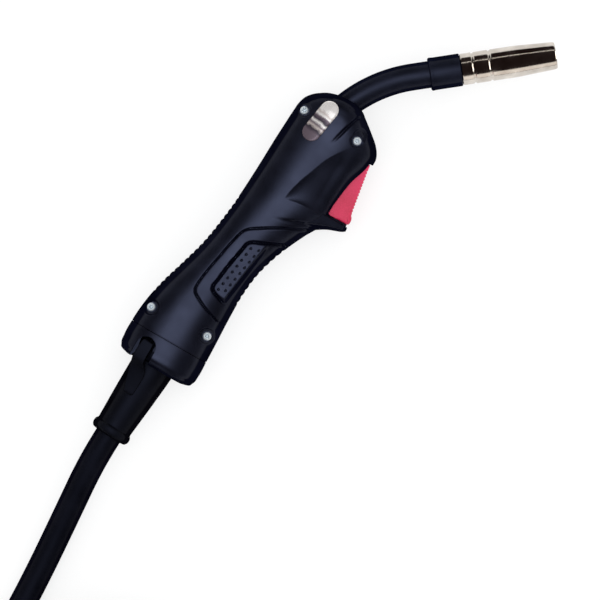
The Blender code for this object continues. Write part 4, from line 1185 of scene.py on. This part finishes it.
def light_nozzle(nozzle, softbox):
    """Cards and strips beside the polished nozzle, which light nothing else. The softbox leaves it out."""
    but = bpy.data.collections.new("all_but_nozzle")
    but.objects.link(nozzle)
    but.collection_objects[0].light_linking.link_state = "EXCLUDE"
    softbox.light_linking.receiver_collection = but
    end, along = neck_place(55.0)
    centre = Vector(end) * MM
    along = Vector(along)
    down = Vector((along[1], -along[0], 0.0))
    only = bpy.data.collections.new("nozzle_only")
    only.objects.link(nozzle)
    cards = (
        ("nozzle_card", down, 71.0, 0.30, (0.6, 0.17), 0.34),
        ("nozzle_strip", down, -46.0, 0.35, (0.6, 0.010), 0.06),
        ("nozzle_front", along, 68.0, 0.30, (0.10, 0.24), 0.60),
    )
    for name, side, tilt, reach, size, power in cards:
        lean = math.radians(tilt)
        away = side * math.sin(lean) + Vector((0, 0, math.cos(lean)))
        card = area_light(name, centre + away * reach, centre, size, power, (1.0, 0.95, 0.90))
        card.rotation_euler = frame_towards(-away, along if side is down else along.cross(away).cross(away))
        card.light_linking.receiver_collection = only


def frame_towards(aim, across):
    """The turn that points a lamp along aim, with its long side across."""
    back = -aim.normalized()
    side = across.normalized()
    up = back.cross(side)
    return Matrix((side, up, back)).transposed().to_euler()


def make_studio():
    world = bpy.data.worlds.new("studio")
    world.use_nodes = True
    tree = world.node_tree
    sky = tree.nodes["Background"]
    glossy = tree.nodes.new("ShaderNodeLightPath").outputs["Is Glossy Ray"]
    tree.links.new(ramp(tree, glossy, (0.0, (1.0, 1.0, 1.0)), (1.0, (0.016, 0.010, 0.010))), sky.inputs["Color"])
    sky.inputs["Strength"].default_value = 1.0
    bpy.context.scene.world = world
    bpy.context.scene.view_settings.view_transform = "Standard"
    return area_light("softbox", (0.08, 0.06, 1.25), (0.08, 0.06, 0.0), (1.0, 0.58), 2.9, (0.93, 0.96, 1.0))


def make_camera():
    camera = bpy.data.cameras.new("camera")
    camera.lens = CAMERA_LENS
    camera.sensor_width = 36.0
    made = bpy.data.objects.new("camera", camera)
    made.location = Vector(CAMERA_PLACE) * MM
    made.rotation_euler = (0, 0, CAMERA_TURN)
    bpy.context.scene.collection.objects.link(made)
    bpy.context.scene.camera = made


def add(piece, body, slot, *nodes):
    """Puts a piece on a body, in place of CAD nodes. The slot is not used."""
    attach(piece, body)
    if nodes:
        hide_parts(*nodes)
    return piece


def refinish(nodes, finishes):
    """Gives the CAD nodes that stay in view or inside their finishes."""
    kept = {
        "trigger_pin": "steel",
        "trigger_spring": "steel",
        "nozzle_spring": "steel",
        "wire_liner": "steel",
        "microswitch_body": "switch",
        "switch_plunger": "trigger",
        "switch_lead_1": "wire",
        "switch_lead_2": "cable",
        "power_lead": "cable",
        "cable_nipple": "brass",
        "neck_block": "brass",
        "neck_clamp_screw": "zinc",
        "neck_tube": "copper",
        "tip_adapter": "brass",
        "contact_tip": "copper",
        "ball_joint": "shell",
        "signal_pin_1": "brass",
        "signal_pin_2": "brass",
    }
    for name, finish in kept.items():
        for place in nodes[name].material_slots:
            place.material = finishes[finish]


def main():
    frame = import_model()
    finishes = make_finishes()
    make_camera()
    softbox = make_studio()
    make_floor()

    add(make_shell("shell_upper_skin", 1, finishes["shell"]), "handle", "shell_plastic", "handle_shell_upper")
    add(make_shell("shell_lower_skin", -1, finishes["shell"]), "handle", "shell_plastic", "handle_shell_lower")
    add(make_collar(finishes["shell"]), "handle", "shell_plastic", "rear_collar")
    badge = shape("badge_face", *badge_shape(0, -0.6, 0.35, 17, 0.3), finishes["badge"])
    add(badge, "handle", "nickel", "badge_plate")
    for number, place in enumerate(SCREWS, 1):
        screw = make_screw(f"screw_head_{number}", place, finishes["zinc"])
        add(screw, "handle", "zinc", f"shell_screw_{number}")
    add(make_trigger(finishes["trigger"]), "trigger", "trigger_red", "trigger_lever")
    add(make_sleeve(finishes["neck"]), "handle", "rubber", "neck_sleeve")
    add(make_insulator(finishes["neck"]), "handle", "rubber", "insulator_sleeve")
    nozzle = add(make_nozzle(finishes["nickel"]), "nozzle", "nickel", "gas_nozzle")
    light_nozzle(nozzle, softbox)

    boot = add(make_boot(finishes["boot"]), "cable", "rubber", "bend_boot")
    cable = add(make_cable(finishes["cable"]), "cable", "rubber", "cable_lead", "cable_coil", "cable_tail")
    for number, angle in enumerate(TIE_ANGLES, 1):
        add(make_tie(number, angle, finishes["strap"]), "cable", "strap", f"coil_tie_{number}")
    plug = make_plug(finishes)
    slots = {"plug_bend_support": "rubber", "plug_housing": "shell_plastic", "plug_contact": "brass", "plug_nut": "shell_plastic"}
    for name, piece in plug.items():
        add(piece, "nut" if name == "plug_nut" else "cable", slots[name], name)
    refinish(frame["nodes"], finishes)


main()
